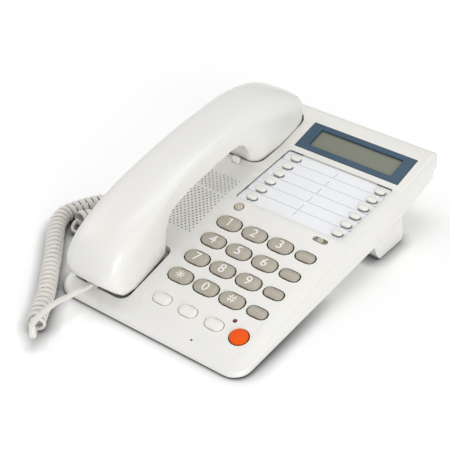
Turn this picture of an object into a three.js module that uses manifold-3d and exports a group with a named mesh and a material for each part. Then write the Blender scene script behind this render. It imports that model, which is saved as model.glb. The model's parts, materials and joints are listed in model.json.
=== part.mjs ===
// Corded desk telephone with speakerphone, display and twelve memory keys.
// Millimetres, +Z up, the front edge towards -Y, the origin on the table under the middle of the base.
// Inside the base group, y runs from 0 at the front edge to DEPTH at the rear edge.
import * as THREE from "three";
import { mergeVertices } from "three/addons/utils/BufferGeometryUtils.js";
import Module from "manifold-3d";

// ---------------------------------------------------------------- driving sizes
const WIDTH = 152; // base, side to side
const DEPTH = 232; // base, front edge to rear edge
const FRONT_HEIGHT = 4.0; // height of the face plane at the front edge
const DIAL_SLOPE = 13.6; // degrees, keypad plane
const CARD_SLOPE = 5.6; // degrees, memory card plane
const WINDOW_SLOPE = 14.0; // degrees, display plane
const DIAL_END = (118 / 232) * DEPTH; // y where the keypad plane meets the card plane
const CARD_END = (186.6 / 232) * DEPTH; // y where the card plane meets the display plane
const FRONT_CORNER = 12; // plan radius of the two front corners
const REAR_CORNER = 4; // plan radius of the two rear corners
const EDGE_IN = 3.6; // how far the rounded top edge reaches in
const EDGE_DOWN = 2.6; // how far the rounded top edge reaches down
const WALL = 2.5; // housing wall
const UNDER_SLOPE = 5.3; // degrees, underside in front of the stand
const RIM_FRONT = 0.5; // height of the lower rim at the front edge
const REAR_SLOPE = 16.0; // degrees, underside behind the stand
const REAR_STEP = 6.5; // the lower housing stops this far short of the rear edge
const REAR_LIP = 38.8; // height of the upper housing's lower edge at the rear
const GAP = 0.35; // clearance between neighbouring fixed pieces
const ACROSS = WIDTH / 152; // places across the face keep their share of the width
const ALONG = DEPTH / 232; // places along the face keep their share of the depth

const STAND_FRONT = 151; // y of the front of the stand under the rear of the base
const STAND_REAR = 187; // y of the rear of the stand
const STAND_WALL = 2.4;

const COLUMN_X = 15.3 * ACROSS; // x of the middle dial column
const COLUMN_PITCH = 21.1 * ACROSS;
const ROW_Y = 97.4 * ALONG; // y of the first dial row
const ROW_PITCH = 17.4 * ALONG;
const DIAL_KEY = [17.6 * ACROSS, 13.2 * ALONG, 5.8]; // length, height, corner radius
const FUNCTION_X = 56.4 * ACROSS; // x of the function key column
const FUNCTION_KEY = [14.2 * ACROSS, 10.2 * ALONG, 4.4];
const LOWER_ROW_Y = 24.6 * ALONG; // y of the white key row
const LOWER_KEY = [13.2 * ACROSS, 10.4 * ALONG, 4.4];
const HANDSFREE_DIAMETER = 13.4; // round orange key
const VOLUME_DIAMETER = 5.4;
const VOLUME_X = -10.4 * ACROSS;
const VOLUME_Y = 113.4 * ALONG;
const KEY_PROUD = 1.9; // key tops above the face
const KEY_SUNK = 1.7; // key undersides below the face
const KEY_TRAVEL = 0.8;
const KEY_GAP = 0.45; // play between a key and its opening
const MAT_THICK = 0.5;
const BOARD_THICK = 0.8;
const MEMORY_X = [-9.5 * ACROSS, 60.6 * ACROSS];
const MEMORY_Y = 179.6 * ALONG; // first memory row
const MEMORY_PITCH = 10.45 * ALONG;
const MEMORY_ROWS = 6;
const MEMORY_KEY = [7.4 * ACROSS, 5.0 * ALONG, 1.8];
const MEMORY_PROUD = 1.3;
const MEMORY_SUNK = 4.4;

const area = (x0, x1, y0, y1) => {
  return { x0: x0 * ACROSS, x1: x1 * ACROSS, y0: y0 * ALONG, y1: y1 * ALONG };
};
const CARD = area(-19.4, 66.8, 121.6, 186.0);
const CARD_THICK = 0.5;
const COVER_THICK = 0.9;
const POCKET_PLAY = 0.3; // air between the layers of the card pocket
const WINDOW = area(-19.2, 66.8, 191.6, 217.8);
const GLASS = area(-10.2, 58.2, 196.6, 213.4); // visible part of the display
const WINDOW_THICK = 1.0;
const LCD_MARGIN = 1.5;
const LCD_THICK = 2.0;

const GRILLE = area(-53.2, -27.0, 80.5, 137.0);
const GRILLE_PITCH_X = 3.45 * ACROSS;
const GRILLE_PITCH_Y = 1.98 * ALONG;
const GRILLE_HOLE = 0.72; // hole radius

const RINGER = { x: 55.2 * ACROSS, y: 115.2 * ALONG, length: 11.6, width: 4.2, knob: 4.2, depth: 1.6 };
const LAMP = { x: 46.8 * ACROSS, y: 34.2 * ALONG, radius: 1.3 };
const MIC = { x: 32.0 * ACROSS, y: 8.8, radius: 0.9 };

const HANDSET_X = -49.3 * ACROSS; // middle plane of the handset
const HANDSET_TILT = 10.6; // degrees, cradle line
const HANDSET_WALL = 2.2;
const CUP_FIT = 0.7; // play of a cup in its recess
const MOUTH_RECESS = { half: 23.5, u0: 12.4, u1: 65.0, front: 7, rear: 6 };
const EAR_RECESS = { half: 20.9 + CUP_FIT, u0: 162.6, u1: 228.4, front: 8.5, rear: 12 };
const RECESS_WALL = 1.4;

const JACK_Y = 72.5; // middle of the handset cord's socket in the left wall
const JACK_Z = 12.6;
const PLUG = { wide: 7.4, high: 5.4, long: 11.0 };
const LINE_JACK = { x: 30 * ACROSS, y: 206 * ALONG, wide: 11.7, long: 9.0, deep: 6.5, wall: 1.2 };

const CABLE = { wide: 4.2, thick: 2.3 };
const COIL_DIAMETER = 12.6;
const COIL_PITCH = 4.75; // curl to curl on the straight
const COIL_GAP = 0.55; // least gap between curls on the inside of a bend
const COIL_STEPS = 8;

// ---------------------------------------------------------------- helpers
const wasm = await Module();
wasm.setup();

const rad = (degrees) => (degrees * Math.PI) / 180;
const V = (x, y, z) => new THREE.Vector3(x, y, z);

// Collects triangles and hands them over as a geometry or as a solid for cutting.
class Shell {
  constructor() {
    this.points = [];
    this.faces = [];
  }

  add(point) {
    this.points.push(point.x, point.y, point.z);
    return this.points.length / 3 - 1;
  }

  // Closed skin through rings of equal length, each ring anticlockwise seen from the last ring.
  // A cap is cut into strips at the y values given, so that it follows a folded plane.
  skin(rings, firstFolds = [], lastFolds = []) {
    const at = rings.map((ring) => ring.map((point) => this.add(point)));
    const count = rings[0].length;
    for (let k = 0; k + 1 < at.length; k += 1) {
      for (let i = 0; i < count; i += 1) {
        const j = (i + 1) % count;
        this.faces.push(at[k][i], at[k][j], at[k + 1][j]);
        this.faces.push(at[k][i], at[k + 1][j], at[k + 1][i]);
      }
    }
    this.cap(rings[0], at[0], firstFolds, true);
    this.cap(rings[rings.length - 1], at[at.length - 1], lastFolds, false);
    return this;
  }

  cap(ring, at, folds, flip) {
    const edges = [-Infinity, ...folds, Infinity];
    for (let k = 0; k + 1 < edges.length; k += 1) {
      const strip = [];
      for (let i = 0; i < ring.length; i += 1) {
        const y = ring[i].y;
        if (y >= edges[k] - 1e-9 && y <= edges[k + 1] + 1e-9) strip.push(at[i]);
      }
      for (let i = 1; i + 1 < strip.length; i += 1) {
        const face = [strip[0], strip[i], strip[i + 1]];
        this.faces.push(...(flip ? face.reverse() : face));
      }
    }
  }

  geometry() {
    const geometry = new THREE.BufferGeometry();
    geometry.setAttribute("position", new THREE.Float32BufferAttribute(this.points, 3));
    geometry.setIndex(this.faces);
    geometry.computeVertexNormals();
    return geometry;
  }

  solid() {
    return toSolid(this.geometry());
  }
}

function toSolid(geometry) {
  const bare = geometry.clone();
  bare.deleteAttribute("normal");
  bare.deleteAttribute("uv");
  const merged = mergeVertices(bare, 1e-5);
  return new wasm.Manifold(
    new wasm.Mesh({
      numProp: 3,
      vertProperties: new Float32Array(merged.attributes.position.array),
      triVerts: new Uint32Array(merged.index.array),
    }),
  );
}

function toGeometry(solid) {
  const mesh = solid.getMesh();
  const geometry = new THREE.BufferGeometry();
  geometry.setAttribute("position", new THREE.BufferAttribute(new Float32Array(mesh.vertProperties), 3));
  geometry.setIndex(new THREE.BufferAttribute(new Uint32Array(mesh.triVerts), 1));
  geometry.computeVertexNormals();
  return geometry;
}

// Rounded rectangle about the origin, anticlockwise; the two lower corners may differ.
function roundedRect(length, height, upper, steps, lower = upper) {
  const outline = [];
  const corners = [[1, 1], [-1, 1], [-1, -1], [1, -1]];
  corners.forEach(([sx, sy], quarter) => {
    const radius = sy > 0 ? upper : lower;
    for (let i = 0; i <= steps; i += 1) {
      const angle = ((quarter + i / steps) * Math.PI) / 2;
      const x = sx * (length / 2 - radius) + radius * Math.cos(angle);
      const y = sy * (height / 2 - radius) + radius * Math.sin(angle);
      outline.push([x, y]);
    }
  });
  return outline;
}

function circle(radius, sides, turn = 0) {
  const outline = [];
  for (let i = 0; i < sides; i += 1) {
    const angle = turn + (i / sides) * 2 * Math.PI;
    outline.push([radius * Math.cos(angle), radius * Math.sin(angle)]);
  }
  return outline;
}

const grown = (outline, amount) => {
  return outline.map(([x, y], i) => {
    const [ax, ay] = outline[(i + outline.length - 1) % outline.length];
    const [bx, by] = outline[(i + 1) % outline.length];
    const length = Math.hypot(bx - ax, by - ay);
    return [x + (amount * (by - ay)) / length, y - (amount * (bx - ax)) / length];
  });
};

const ringAt = (outline, place, height) => outline.map(([x, y]) => place(x, y, height));

// Straight prism of an outline between two heights of a placed plane.
function prism(outline, place, low, high) {
  return new Shell().skin([ringAt(outline, place, low), ringAt(outline, place, high)]);
}

// Prism across the width: a profile in the (y, z) plane, anticlockwise seen from +X.
function acrossSolid(profile, x0, x1) {
  const shape = new THREE.Shape(profile.map(([y, z]) => new THREE.Vector2(y, z)));
  const geometry = new THREE.ExtrudeGeometry(shape, { depth: x1 - x0, bevelEnabled: false });
  const turn = new THREE.Matrix4().makeBasis(V(0, 1, 0), V(0, 0, 1), V(1, 0, 0));
  geometry.applyMatrix4(turn);
  geometry.translate(x0, 0, 0);
  return toSolid(geometry);
}

function boxSolid(x0, x1, y0, y1, z0, z1) {
  const geometry = new THREE.BoxGeometry(x1 - x0, y1 - y0, z1 - z0);
  geometry.translate((x0 + x1) / 2, (y0 + y1) / 2, (z0 + z1) / 2);
  return toSolid(geometry);
}

// ---------------------------------------------------------------- planes of the face
const slopeOf = (degrees) => Math.tan(rad(degrees));
const CARD_FOOT = FRONT_HEIGHT + DIAL_END * slopeOf(DIAL_SLOPE);
const WINDOW_FOOT = CARD_FOOT + (CARD_END - DIAL_END) * slopeOf(CARD_SLOPE);

function faceHeight(y) {
  if (y < DIAL_END) return FRONT_HEIGHT + y * slopeOf(DIAL_SLOPE);
  if (y < CARD_END) return CARD_FOOT + (y - DIAL_END) * slopeOf(CARD_SLOPE);
  return WINDOW_FOOT + (y - CARD_END) * slopeOf(WINDOW_SLOPE);
}

const RIM_AT_STAND = RIM_FRONT + STAND_FRONT * slopeOf(UNDER_SLOPE);
const RIM_BEHIND = 21.4; // height of the rim just behind the stand

function rimHeight(y) {
  if (y < STAND_FRONT) return RIM_FRONT + y * slopeOf(UNDER_SLOPE);
  if (y < STAND_REAR) {
    const share = (y - STAND_FRONT) / (STAND_REAR - STAND_FRONT);
    return RIM_AT_STAND + share * (RIM_BEHIND - RIM_AT_STAND);
  }
  return RIM_BEHIND + (y - STAND_REAR) * slopeOf(REAR_SLOPE);
}

// The three planes of the face: keypad, memory card, display.
const PLANES = [[0, DIAL_SLOPE], [DIAL_END, CARD_SLOPE], [CARD_END, WINDOW_SLOPE]].map(([y, slope]) => {
  const matrix = new THREE.Matrix4().makeRotationX(rad(slope)).setPosition(0, y, faceHeight(y));
  return { y, matrix, c: Math.cos(rad(slope)), s: Math.sin(rad(slope)) };
});

const planeAt = (y) => PLANES.filter((plane) => y >= plane.y).pop();

// Places (x, y, n): n is the distance above the sloping face, square to it, at the plan point (x0, y0).
function onFace(x0, y0) {
  const { c, s } = planeAt(y0);
  const z0 = faceHeight(y0);
  return (x, y, n) => V(x0 + x, y0 + y * c - n * s, z0 + y * s + n * c);
}

// Prisms square to the face, made level and then turned onto their plane.
function faceCutters(cuts) {
  const solids = [];
  PLANES.forEach((plane) => {
    const mine = cuts.filter((cut) => planeAt(cut.y) === plane);
    if (mine.length === 0) return;
    const shell = new Shell();
    mine.forEach(({ outline, x, y, low, high }) => {
      const place = (px, py, n) => V(x + px, (y - plane.y) / plane.c + py, n);
      shell.skin([ringAt(outline, place, low), ringAt(outline, place, high)]);
    });
    solids.push(shell.solid().transform(plane.matrix.elements));
  });
  return solids.reduce((all, solid) => all.add(solid));
}

// Outline of the base in plan, drawn in by an inset and by a larger amount at the front.
function planRing(inset, front, height) {
  const half = WIDTH / 2 - inset;
  const rear = DEPTH - inset;
  const frontRadius = front > FRONT_CORNER ? 2 : FRONT_CORNER - inset;
  const rearRadius = Math.max(REAR_CORNER - inset, 0.6);
  const folds = [DIAL_END, STAND_FRONT, STAND_REAR, CARD_END].sort((a, b) => a - b);
  const ring = [];
  const arc = (cx, cy, radius, from, steps) => {
    for (let i = 0; i <= steps; i += 1) {
      const angle = rad(from + (90 * i) / steps);
      ring.push([cx + radius * Math.cos(angle), cy + radius * Math.sin(angle)]);
    }
  };
  folds.forEach((y) => ring.push([half, y]));
  arc(half - rearRadius, rear - rearRadius, rearRadius, 0, 3);
  arc(rearRadius - half, rear - rearRadius, rearRadius, 90, 3);
  folds.slice().reverse().forEach((y) => ring.push([-half, y]));
  arc(frontRadius - half, front + frontRadius, frontRadius, 180, 6);
  arc(half - frontRadius, front + frontRadius, frontRadius, 270, 6);
  return ring.map(([x, y]) => V(x, y, height(y)));
}

// ---------------------------------------------------------------- handset frame
const TILT_C = Math.cos(rad(HANDSET_TILT));
const TILT_S = Math.sin(rad(HANDSET_TILT));

const NOSE_FLOOR = 15.4; // the mouth end is solid up to here, round the plug

// u runs from the mouth end to the ear end, w is square to the cradle line.
const held = (x, u, w) => {
  const v = u * ALONG;
  return V(HANDSET_X + x, v * TILT_C - w * TILT_S, v * TILT_S + w * TILT_C);
};

// Stations of the handset: u, crown height, crease height, half width at the crease,
// lowest height, lower corner, and how far the side leans in from the crease to the bottom.
const HANDSET_STATIONS = [
  [5.0, 22.4, 19.9, 9.5, 18.8, 0.6, 0],
  [5.9, 25.0, 20.1, 13.6, 17.6, 1.4, 0],
  [8.0, 29.0, 20.4, 18.2, 14.6, 3.0, 0],
  [11.0, 32.6, 20.8, 20.7, 10.0, 4.5, 0],
  [15.0, 37.0, 21.4, 22.1, 4.2, 6.0, 0],
  [19.0, 40.0, 23.2, 22.6, 2.9, 5.0, 0],
  [25.0, 43.0, 26.8, 22.8, 2.6, 2.5, 0.2],
  [32.0, 45.0, 30.6, 22.8, 2.3, 1.6, 0.5],
  [41.0, 46.6, 34.8, 22.7, 1.9, 2.4, 0.9],
  [51.0, 47.8, 38.8, 22.4, 1.4, 4.4, 1.3],
  [62.0, 49.2, 42.8, 21.5, 0.9, 7.0, 1.4],
  [76.0, 50.6, 46.5, 20.0, 0.6, 0.8, 0.4],
  [91.0, 51.6, 48.2, 19.0, 0.3, 0.8, 0],
  [106.0, 52.1, 48.9, 18.5, 0.1, 0.8, 0],
  [121.0, 52.0, 48.8, 18.5, 0.0, 0.8, 0],
  [136.0, 51.4, 46.8, 19.0, 0.0, 0.8, 0],
  [150.0, 50.4, 43.4, 20.0, 0.0, 0.8, 1.0],
  [163.0, 49.2, 39.6, 21.4, 0.0, 0.8, 2.5],
  [176.0, 47.5, 35.4, 22.3, 0.0, 0.8, 2.3],
  [187.0, 45.4, 31.4, 22.7, 0.0, 0.8, 2.1],
  [197.0, 42.6, 27.5, 22.8, 0.0, 0.8, 1.9],
  [206.0, 38.7, 24.3, 22.6, 0.0, 0.8, 1.7],
  [213.0, 34.6, 21.8, 22.1, 0.0, 0.8, 1.4],
  [218.0, 31.0, 20.0, 21.3, 0.0, 0.8, 1.2],
  [222.0, 27.6, 18.6, 19.6, 0.2, 0.8, 1.0],
  [225.2, 24.2, 17.4, 16.2, 0.5, 0.8, 0.8],
  [227.2, 20.8, 16.0, 11.4, 1.2, 0.8, 0.5],
];
const GRIP_ARCH = [
  [60.4, -4], [61.4, 5], [63.0, 14], [65.4, 25], [68.2, 31.4], [72.8, 34.9], [80, 35.8],
  [140, 35.8], [147.8, 34.9], [152.6, 31.4], [156.6, 25], [160.9, 14], [163.8, 5], [164.6, -4],
];

// Cross section: a squared ellipse over the crease, sides that lean in and rounded lower corners.
function crownSection(station, half, low, corner) {
  const [u, crown, crease] = station;
  const power = 2 / 3;
  const foot = half - leanOf(station) * (crease - low);
  const section = [];
  section.push(held(foot - corner, u, low));
  section.push(held(foot - 0.3 * corner, u, low + 0.3 * corner));
  section.push(held(foot, u, low + corner));
  const steps = 10;
  for (let i = 0; i <= steps; i += 1) {
    const angle = (Math.PI * i) / steps;
    const c = Math.cos(angle);
    const s = Math.max(Math.sin(angle), 0);
    const x = Math.sign(c) * half * Math.abs(c) ** power;
    section.push(held(x, u, crease + (crown - crease) * s ** power));
  }
  section.push(held(-foot, u, low + corner));
  section.push(held(0.3 * corner - foot, u, low + 0.3 * corner));
  section.push(held(corner - foot, u, low));
  return section;
}

const leanOf = ([u, crown, crease, half, low, corner, lean]) => lean / (crease - low);

function handsetOuter() {
  const rings = HANDSET_STATIONS.map((station) => {
    return crownSection(station, station[3], station[4], station[5]);
  });
  return new Shell().skin(rings.reverse()).solid();
}

// The same form drawn in, open downwards behind the nose.
function handsetHollow(inset) {
  const rings = [];
  HANDSET_STATIONS.forEach((station) => {
    const [u, crown, crease, half, low, corner, lean] = station;
    if (u < 11 || u > 223) return;
    const inner = [u, crown - inset, crease - inset / 2, half, low, corner, lean];
    const nose = u < 18;
    const floor = nose ? NOSE_FLOOR : -4;
    rings.push(crownSection(inner, half - inset, floor, nose ? 0.8 : corner + low - floor));
  });
  return new Shell().skin(rings.reverse()).solid();
}

// Half width of the handset at u and height w, between the stations.
function sideAt(u, w) {
  const after = HANDSET_STATIONS.findIndex((station) => station[0] >= u);
  const a = HANDSET_STATIONS[after - 1];
  const b = HANDSET_STATIONS[after];
  const share = (u - a[0]) / (b[0] - a[0]);
  const [ax, bx] = [a, b].map((station) => {
    return station[3] - leanOf(station) * Math.max(station[2] - w, 0);
  });
  return ax + share * (bx - ax);
}

// The upright corners of the two cups beside the grip: w, u of the grip arch, radius.
const EAR_CORNER = [
  [-4, 164.6, 8.6], [5, 163.8, 8.2], [14, 160.9, 6.4], [25, 156.6, 3.4], [31.4, 152.6, 0.5],
];
const MOUTH_CORNER = [
  [-4, 60.4, 4.6], [5, 61.4, 4.2], [14, 63.0, 3.4], [25, 65.4, 2.4], [31.4, 68.2, 0.5],
];

// What lies outside a rounded corner, drawn in by an inset; play moves its inner end.
function outsideCorner(levels, way, side, inset, play) {
  const rings = levels.map(([w, edge, radius]) => {
    const half = sideAt(edge + (way * radius) / 2, w) + 0.12;
    const inner = Math.max(radius - inset, 0.05);
    const points = [[half + 3, edge - 3 * way], [half + 3, edge + way * radius]];
    for (let i = 0; i <= 4; i += 1) {
      const angle = (i / 4) * (Math.PI / 2);
      const x = half - radius + inner * Math.cos(angle);
      points.push([x, edge + way * (radius - inner * Math.sin(angle))]);
    }
    points.push([half - radius - play, edge + way * (radius - inner)]);
    points.push([half - radius - play, edge - 3 * way]);
    if (side * way < 0) points.reverse();
    return points.map(([x, u]) => held(side * x, u, w));
  });
  return new Shell().skin(rings).solid();
}

function cupCorners(inset, play) {
  const solids = [];
  [-1, 1].forEach((side) => {
    solids.push(outsideCorner(EAR_CORNER, 1, side, inset, play));
    solids.push(outsideCorner(MOUTH_CORNER, -1, side, inset, play));
  });
  return solids.reduce((all, solid) => all.add(solid));
}

// Slab of the full width with a profile in the handset's (u, w) plane.
function handsetAcross(profile, half) {
  const solid = new Shell();
  const shape = profile.map(([u, w]) => new THREE.Vector2(u, w));
  if (THREE.ShapeUtils.isClockWise(shape)) shape.reverse();
  const triangles = THREE.ShapeUtils.triangulateShape(shape, []);
  const right = shape.map((p) => solid.add(held(half, p.x, p.y)));
  const left = shape.map((p) => solid.add(held(-half, p.x, p.y)));
  triangles.forEach(([a, b, c]) => {
    solid.faces.push(right[a], right[b], right[c]);
    solid.faces.push(left[a], left[c], left[b]);
  });
  for (let i = 0; i < shape.length; i += 1) {
    const j = (i + 1) % shape.length;
    solid.faces.push(right[j], right[i], left[i]);
    solid.faces.push(right[j], left[i], left[j]);
  }
  return solid.solid();
}

// ---------------------------------------------------------------- scene graph
const telephone = new THREE.Group();
const base = new THREE.Group();
base.position.set(0, -DEPTH / 2, 0);
telephone.add(base);

const COLOURS = {
  ivory: [0xe9e7e0, 0.42],
  ivoryDark: [0xdedbd2, 0.5],
  tan: [0xa99f92, 0.45],
  white: [0xf0efea, 0.4],
  orange: [0xe8560f, 0.35],
  blue: [0x3c5877, 0.3],
  lcd: [0x84877a, 0.25],
  card: [0xe6e9f2, 0.7],
  clear: [0xf4f6f8, 0.1],
  dark: [0x2b2b2b, 0.6],
  green: [0x2f6b45, 0.55],
  rubber: [0x9c9b96, 0.85],
  cord: [0xe2dfd3, 0.5],
  lamp: [0x5a2320, 0.25],
};

function piece(name, colour, geometry) {
  const [hex, roughness] = COLOURS[colour];
  const material = new THREE.MeshStandardMaterial({ color: hex, roughness, metalness: 0 });
  const mesh = new THREE.Mesh(geometry, material);
  mesh.name = name;
  base.add(mesh);
  return mesh;
}

// ---------------------------------------------------------------- keys
const rounded = ([length, height, radius], steps) => roundedRect(length, height, radius, steps);

// A key cap: straight sides, a rounded shoulder and a slightly raised crown.
function keyCap(outline, place, proud, sunk) {
  const rings = [
    ringAt(outline, place, -sunk),
    ringAt(outline, place, proud - 0.9),
    ringAt(grown(outline, -0.3), place, proud - 0.3),
    ringAt(grown(outline, -1.0), place, proud),
  ];
  return new Shell().skin(rings).geometry();
}

const KEYS = [];
const addKey = (name, colour, x, y, outline, proud = KEY_PROUD, sunk = KEY_SUNK) => {
  KEYS.push({ name, colour, x, y, outline, proud, sunk, hole: grown(outline, KEY_GAP) });
};
const DIAL_NAMES = [["1", "2", "3"], ["4", "5", "6"], ["7", "8", "9"], ["star", "0", "hash"]];
DIAL_NAMES.forEach((names, row) => {
  const y = ROW_Y - row * ROW_PITCH;
  names.forEach((label, column) => {
    const x = COLUMN_X + (column - 1) * COLUMN_PITCH;
    addKey(`key_${label}`, "tan", x, y, rounded(DIAL_KEY, 3));
  });
  addKey(`function_key_${row + 1}`, "tan", FUNCTION_X, y, rounded(FUNCTION_KEY, 3), 1.7);
});
[0, 1, 2].forEach((column) => {
  const x = COLUMN_X + 1.2 + (column - 1) * COLUMN_PITCH;
  addKey(`lower_key_${column + 1}`, "white", x, LOWER_ROW_Y, rounded(LOWER_KEY, 3), 1.6);
});
addKey("handsfree_key", "orange", FUNCTION_X, LOWER_ROW_Y, circle(HANDSFREE_DIAMETER / 2, 18), 2.2);
addKey("volume_key", "tan", VOLUME_X, VOLUME_Y, circle(VOLUME_DIAMETER / 2, 12), 1.3);
for (let row = 0; row < MEMORY_ROWS; row += 1) {
  MEMORY_X.forEach((x, side) => {
    const name = `memory_key_${side * MEMORY_ROWS + row + 1}`;
    const y = MEMORY_Y - row * MEMORY_PITCH;
    addKey(name, "white", x, y, rounded(MEMORY_KEY, 1), MEMORY_PROUD, MEMORY_SUNK);
  });
}
KEYS.forEach((key) => {
  const place = onFace(key.x, key.y);
  piece(key.name, key.colour, keyCap(key.outline, place, key.proud, key.sunk));
});

// ---------------------------------------------------------------- upper housing
// Rounded top edge: how far in, how far down.
const EDGE = [0, 0.16, 0.45, 1].map((share) => {
  const inward = share * EDGE_IN;
  const down = EDGE_DOWN * (1 - Math.sqrt(1 - (1 - share) ** 2));
  return [inward, down];
});

function housingOuter() {
  const rings = [planRing(0, 0, rimHeight)];
  EDGE.forEach(([inward, down]) => {
    rings.push(planRing(inward, inward, (y) => faceHeight(y) - down));
  });
  return new Shell().skin(rings, [STAND_FRONT, STAND_REAR], [DIAL_END, CARD_END]).solid();
}

const NOSE = 19; // the front edge is solid this far in

function housingHollow() {
  const low = planRing(WALL, NOSE, (y) => rimHeight(y) - 20);
  const high = planRing(WALL, NOSE, (y) => faceHeight(y) - WALL - 0.1);
  return new Shell().skin([low, high], [], [DIAL_END, CARD_END]).solid();
}

function recessPlace(recess) {
  const middle = (recess.u0 + recess.u1) / 2;
  return (x, y, n) => held(x, middle + y, n);
}

function recessOutline(recess) {
  return roundedRect(2 * recess.half, recess.u1 - recess.u0, recess.rear, 4, recess.front);
}

const MOUTH_FLOOR = (u) => 2.5 - 0.045 * (u - MOUTH_RECESS.u0);
const EAR_FLOOR = -0.7;

function recessTool(recess, floor, extra) {
  const outline = grown(recessOutline(recess), extra);
  const middle = (recess.u0 + recess.u1) / 2;
  const place = recessPlace(recess);
  const low = outline.map(([x, y]) => place(x, y, floor(middle + y) - extra));
  const high = outline.map(([x, y]) => place(x, y, 34));
  return new Shell().skin([low, high]).solid();
}

function grilleHoles() {
  const cuts = [];
  const outline = circle(GRILLE_HOLE, 4);
  let row = 0;
  for (let y = GRILLE.y0; y <= GRILLE.y1; y += GRILLE_PITCH_Y) {
    const shift = row % 2 === 0 ? 0 : GRILLE_PITCH_X / 2;
    for (let x = GRILLE.x1 - shift; x >= GRILLE.x0; x -= GRILLE_PITCH_X) {
      if (Math.abs(y - DIAL_END) > 0.8) cuts.push({ outline, x, y, low: -WALL - 1.5, high: 1 });
    }
    row += 1;
  }
  console.log(`speaker grille: ${cuts.length} holes in ${row} rows`);
  return faceCutters(cuts);
}

function keyHoles() {
  return faceCutters(KEYS.map(({ x, y, hole }) => ({ outline: hole, x, y, low: -6, high: 1.2 })));
}

// Flat rectangle on the face between two heights above it.
function facePlate(area, grow, low, high, corner) {
  const x = (area.x0 + area.x1) / 2;
  const y = (area.y0 + area.y1) / 2;
  const wide = area.x1 - area.x0 + 2 * grow;
  const c = Math.cos(Math.atan((faceHeight(area.y1) - faceHeight(area.y0)) / (area.y1 - area.y0)));
  const deep = (area.y1 - area.y0) / c + 2 * grow;
  return prism(roundedRect(wide, deep, corner, 2), onFace(x, y), low, high);
}

function ringerOutline(grow) {
  const wide = RINGER.width + 2 * grow;
  return roundedRect(RINGER.length + 2 * grow, wide, wide / 2 - 0.01, 4);
}

const HOOK = { x: HANDSET_X, u: 186, long: 12, wide: 5 };
const WALL_HOOK = { x: -42.8 * ACROSS, y: 153.0 * ALONG, wide: 5.4, thick: 2.4, high: 5.2 };

function hookPlace(x, y, n) {
  return held(HOOK.x - HANDSET_X + x, HOOK.u + y, n);
}

const SPEAKER = { x: -49 * ACROSS, y: 106 * ALONG, radius: 22, magnet: 11, low: -5 };
const BOARD_PLAY = 1.2; // air between a board and the side wall
const MEMORY_BOARD = {
  ...area(-21.5, 70.0, 123.0, 185.5),
  x1: Math.min(70.0 * ACROSS, WIDTH / 2 - WALL - BOARD_PLAY),
};
const MEMORY_BOARD_TOP = -MEMORY_SUNK - KEY_TRAVEL - 0.4;

// Short bosses under the face that carry the loudspeaker and the memory board.
function bosses() {
  const speakerPlace = onFace(SPEAKER.x, SPEAKER.y);
  const posts = [120, 180, 240].map((degrees) => {
    const x = (SPEAKER.radius - 1.5) * Math.cos(rad(degrees));
    const y = (SPEAKER.radius - 1.5) * Math.sin(rad(degrees));
    const place = (px, py, n) => speakerPlace(x + px, y + py, n);
    return prism(circle(1.4, 6), place, SPEAKER.low + 0.3, -WALL + 0.3).solid();
  });
  [MEMORY_BOARD.x0 + 4, MEMORY_BOARD.x1 - 5].forEach((x) => {
    [MEMORY_BOARD.y0 + 3, MEMORY_BOARD.y1 - 4].forEach((y) => {
      posts.push(prism(circle(1.8, 6), onFace(x, y), MEMORY_BOARD_TOP + 0.3, -WALL).solid());
    });
  });
  return posts.reduce((all, post) => all.add(post));
}

function upperHousing() {
  const outer = housingOuter();
  let shell = outer.subtract(housingHollow());
  const floors = recessTool(MOUTH_RECESS, MOUTH_FLOOR, RECESS_WALL)
    .add(recessTool(EAR_RECESS, () => EAR_FLOOR, RECESS_WALL));
  const seat = facePlate(CARD, 0, -WALL - 1.6, -1, 2).solid();
  shell = shell.add(floors.add(seat).intersect(outer)).add(bosses());
  shell = shell.subtract(recessTool(MOUTH_RECESS, MOUTH_FLOOR, 0));
  shell = shell.subtract(recessTool(EAR_RECESS, () => EAR_FLOOR, 0));
  const cardDepth = CARD_THICK + COVER_THICK + 2 * POCKET_PLAY - 0.1;
  const pockets = facePlate(CARD, GAP, -cardDepth, 2, 2).solid()
    .add(facePlate(WINDOW, GAP, -WINDOW_THICK - POCKET_PLAY, 2, 0.5).solid())
    .add(facePlate(GLASS, LCD_MARGIN + GAP, -6, 2, 0.4).solid());
  shell = shell.subtract(pockets).subtract(keyHoles()).subtract(grilleHoles());
  const ringer = prism(ringerOutline(0), onFace(RINGER.x, RINGER.y), -RINGER.depth, 1).solid();
  const slot = roundedRect(RINGER.length - 2.4, 1.6, 0.5, 1);
  const through = prism(slot, onFace(RINGER.x, RINGER.y), -6, 0).solid();
  shell = shell.subtract(ringer.add(through));
  const lamp = prism(circle(LAMP.radius + 0.3, 10), onFace(LAMP.x, LAMP.y), -6, 1).solid();
  const mic = prism(circle(MIC.radius, 6), onFace(MIC.x, MIC.y), -3, 1).solid();
  shell = shell.subtract(lamp.add(mic));
  const hook = prism(roundedRect(HOOK.wide + 1, HOOK.long + 1, 1.5, 2), hookPlace, -6, 4).solid();
  const tab = prism(
    roundedRect(WALL_HOOK.wide + 2 * GAP, WALL_HOOK.thick + 2 * GAP, 0.6, 1),
    onFace(WALL_HOOK.x, WALL_HOOK.y), -6, 2,
  ).solid();
  shell = shell.subtract(hook.add(tab));
  const rearCut = boxSolid(-WIDTH, WIDTH, DEPTH - REAR_STEP, DEPTH + 5, 0, REAR_LIP);
  const jack = boxSolid(
    -WIDTH / 2 - 1, -WIDTH / 2 + 8,
    JACK_Y - PLUG.wide / 2 - GAP, JACK_Y + PLUG.wide / 2 + GAP,
    JACK_Z - PLUG.high / 2 - GAP, JACK_Z + PLUG.high / 2 + GAP,
  );
  return shell.subtract(rearCut.add(jack));
}

piece("upper_housing", "ivory", toGeometry(upperHousing()));

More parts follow.
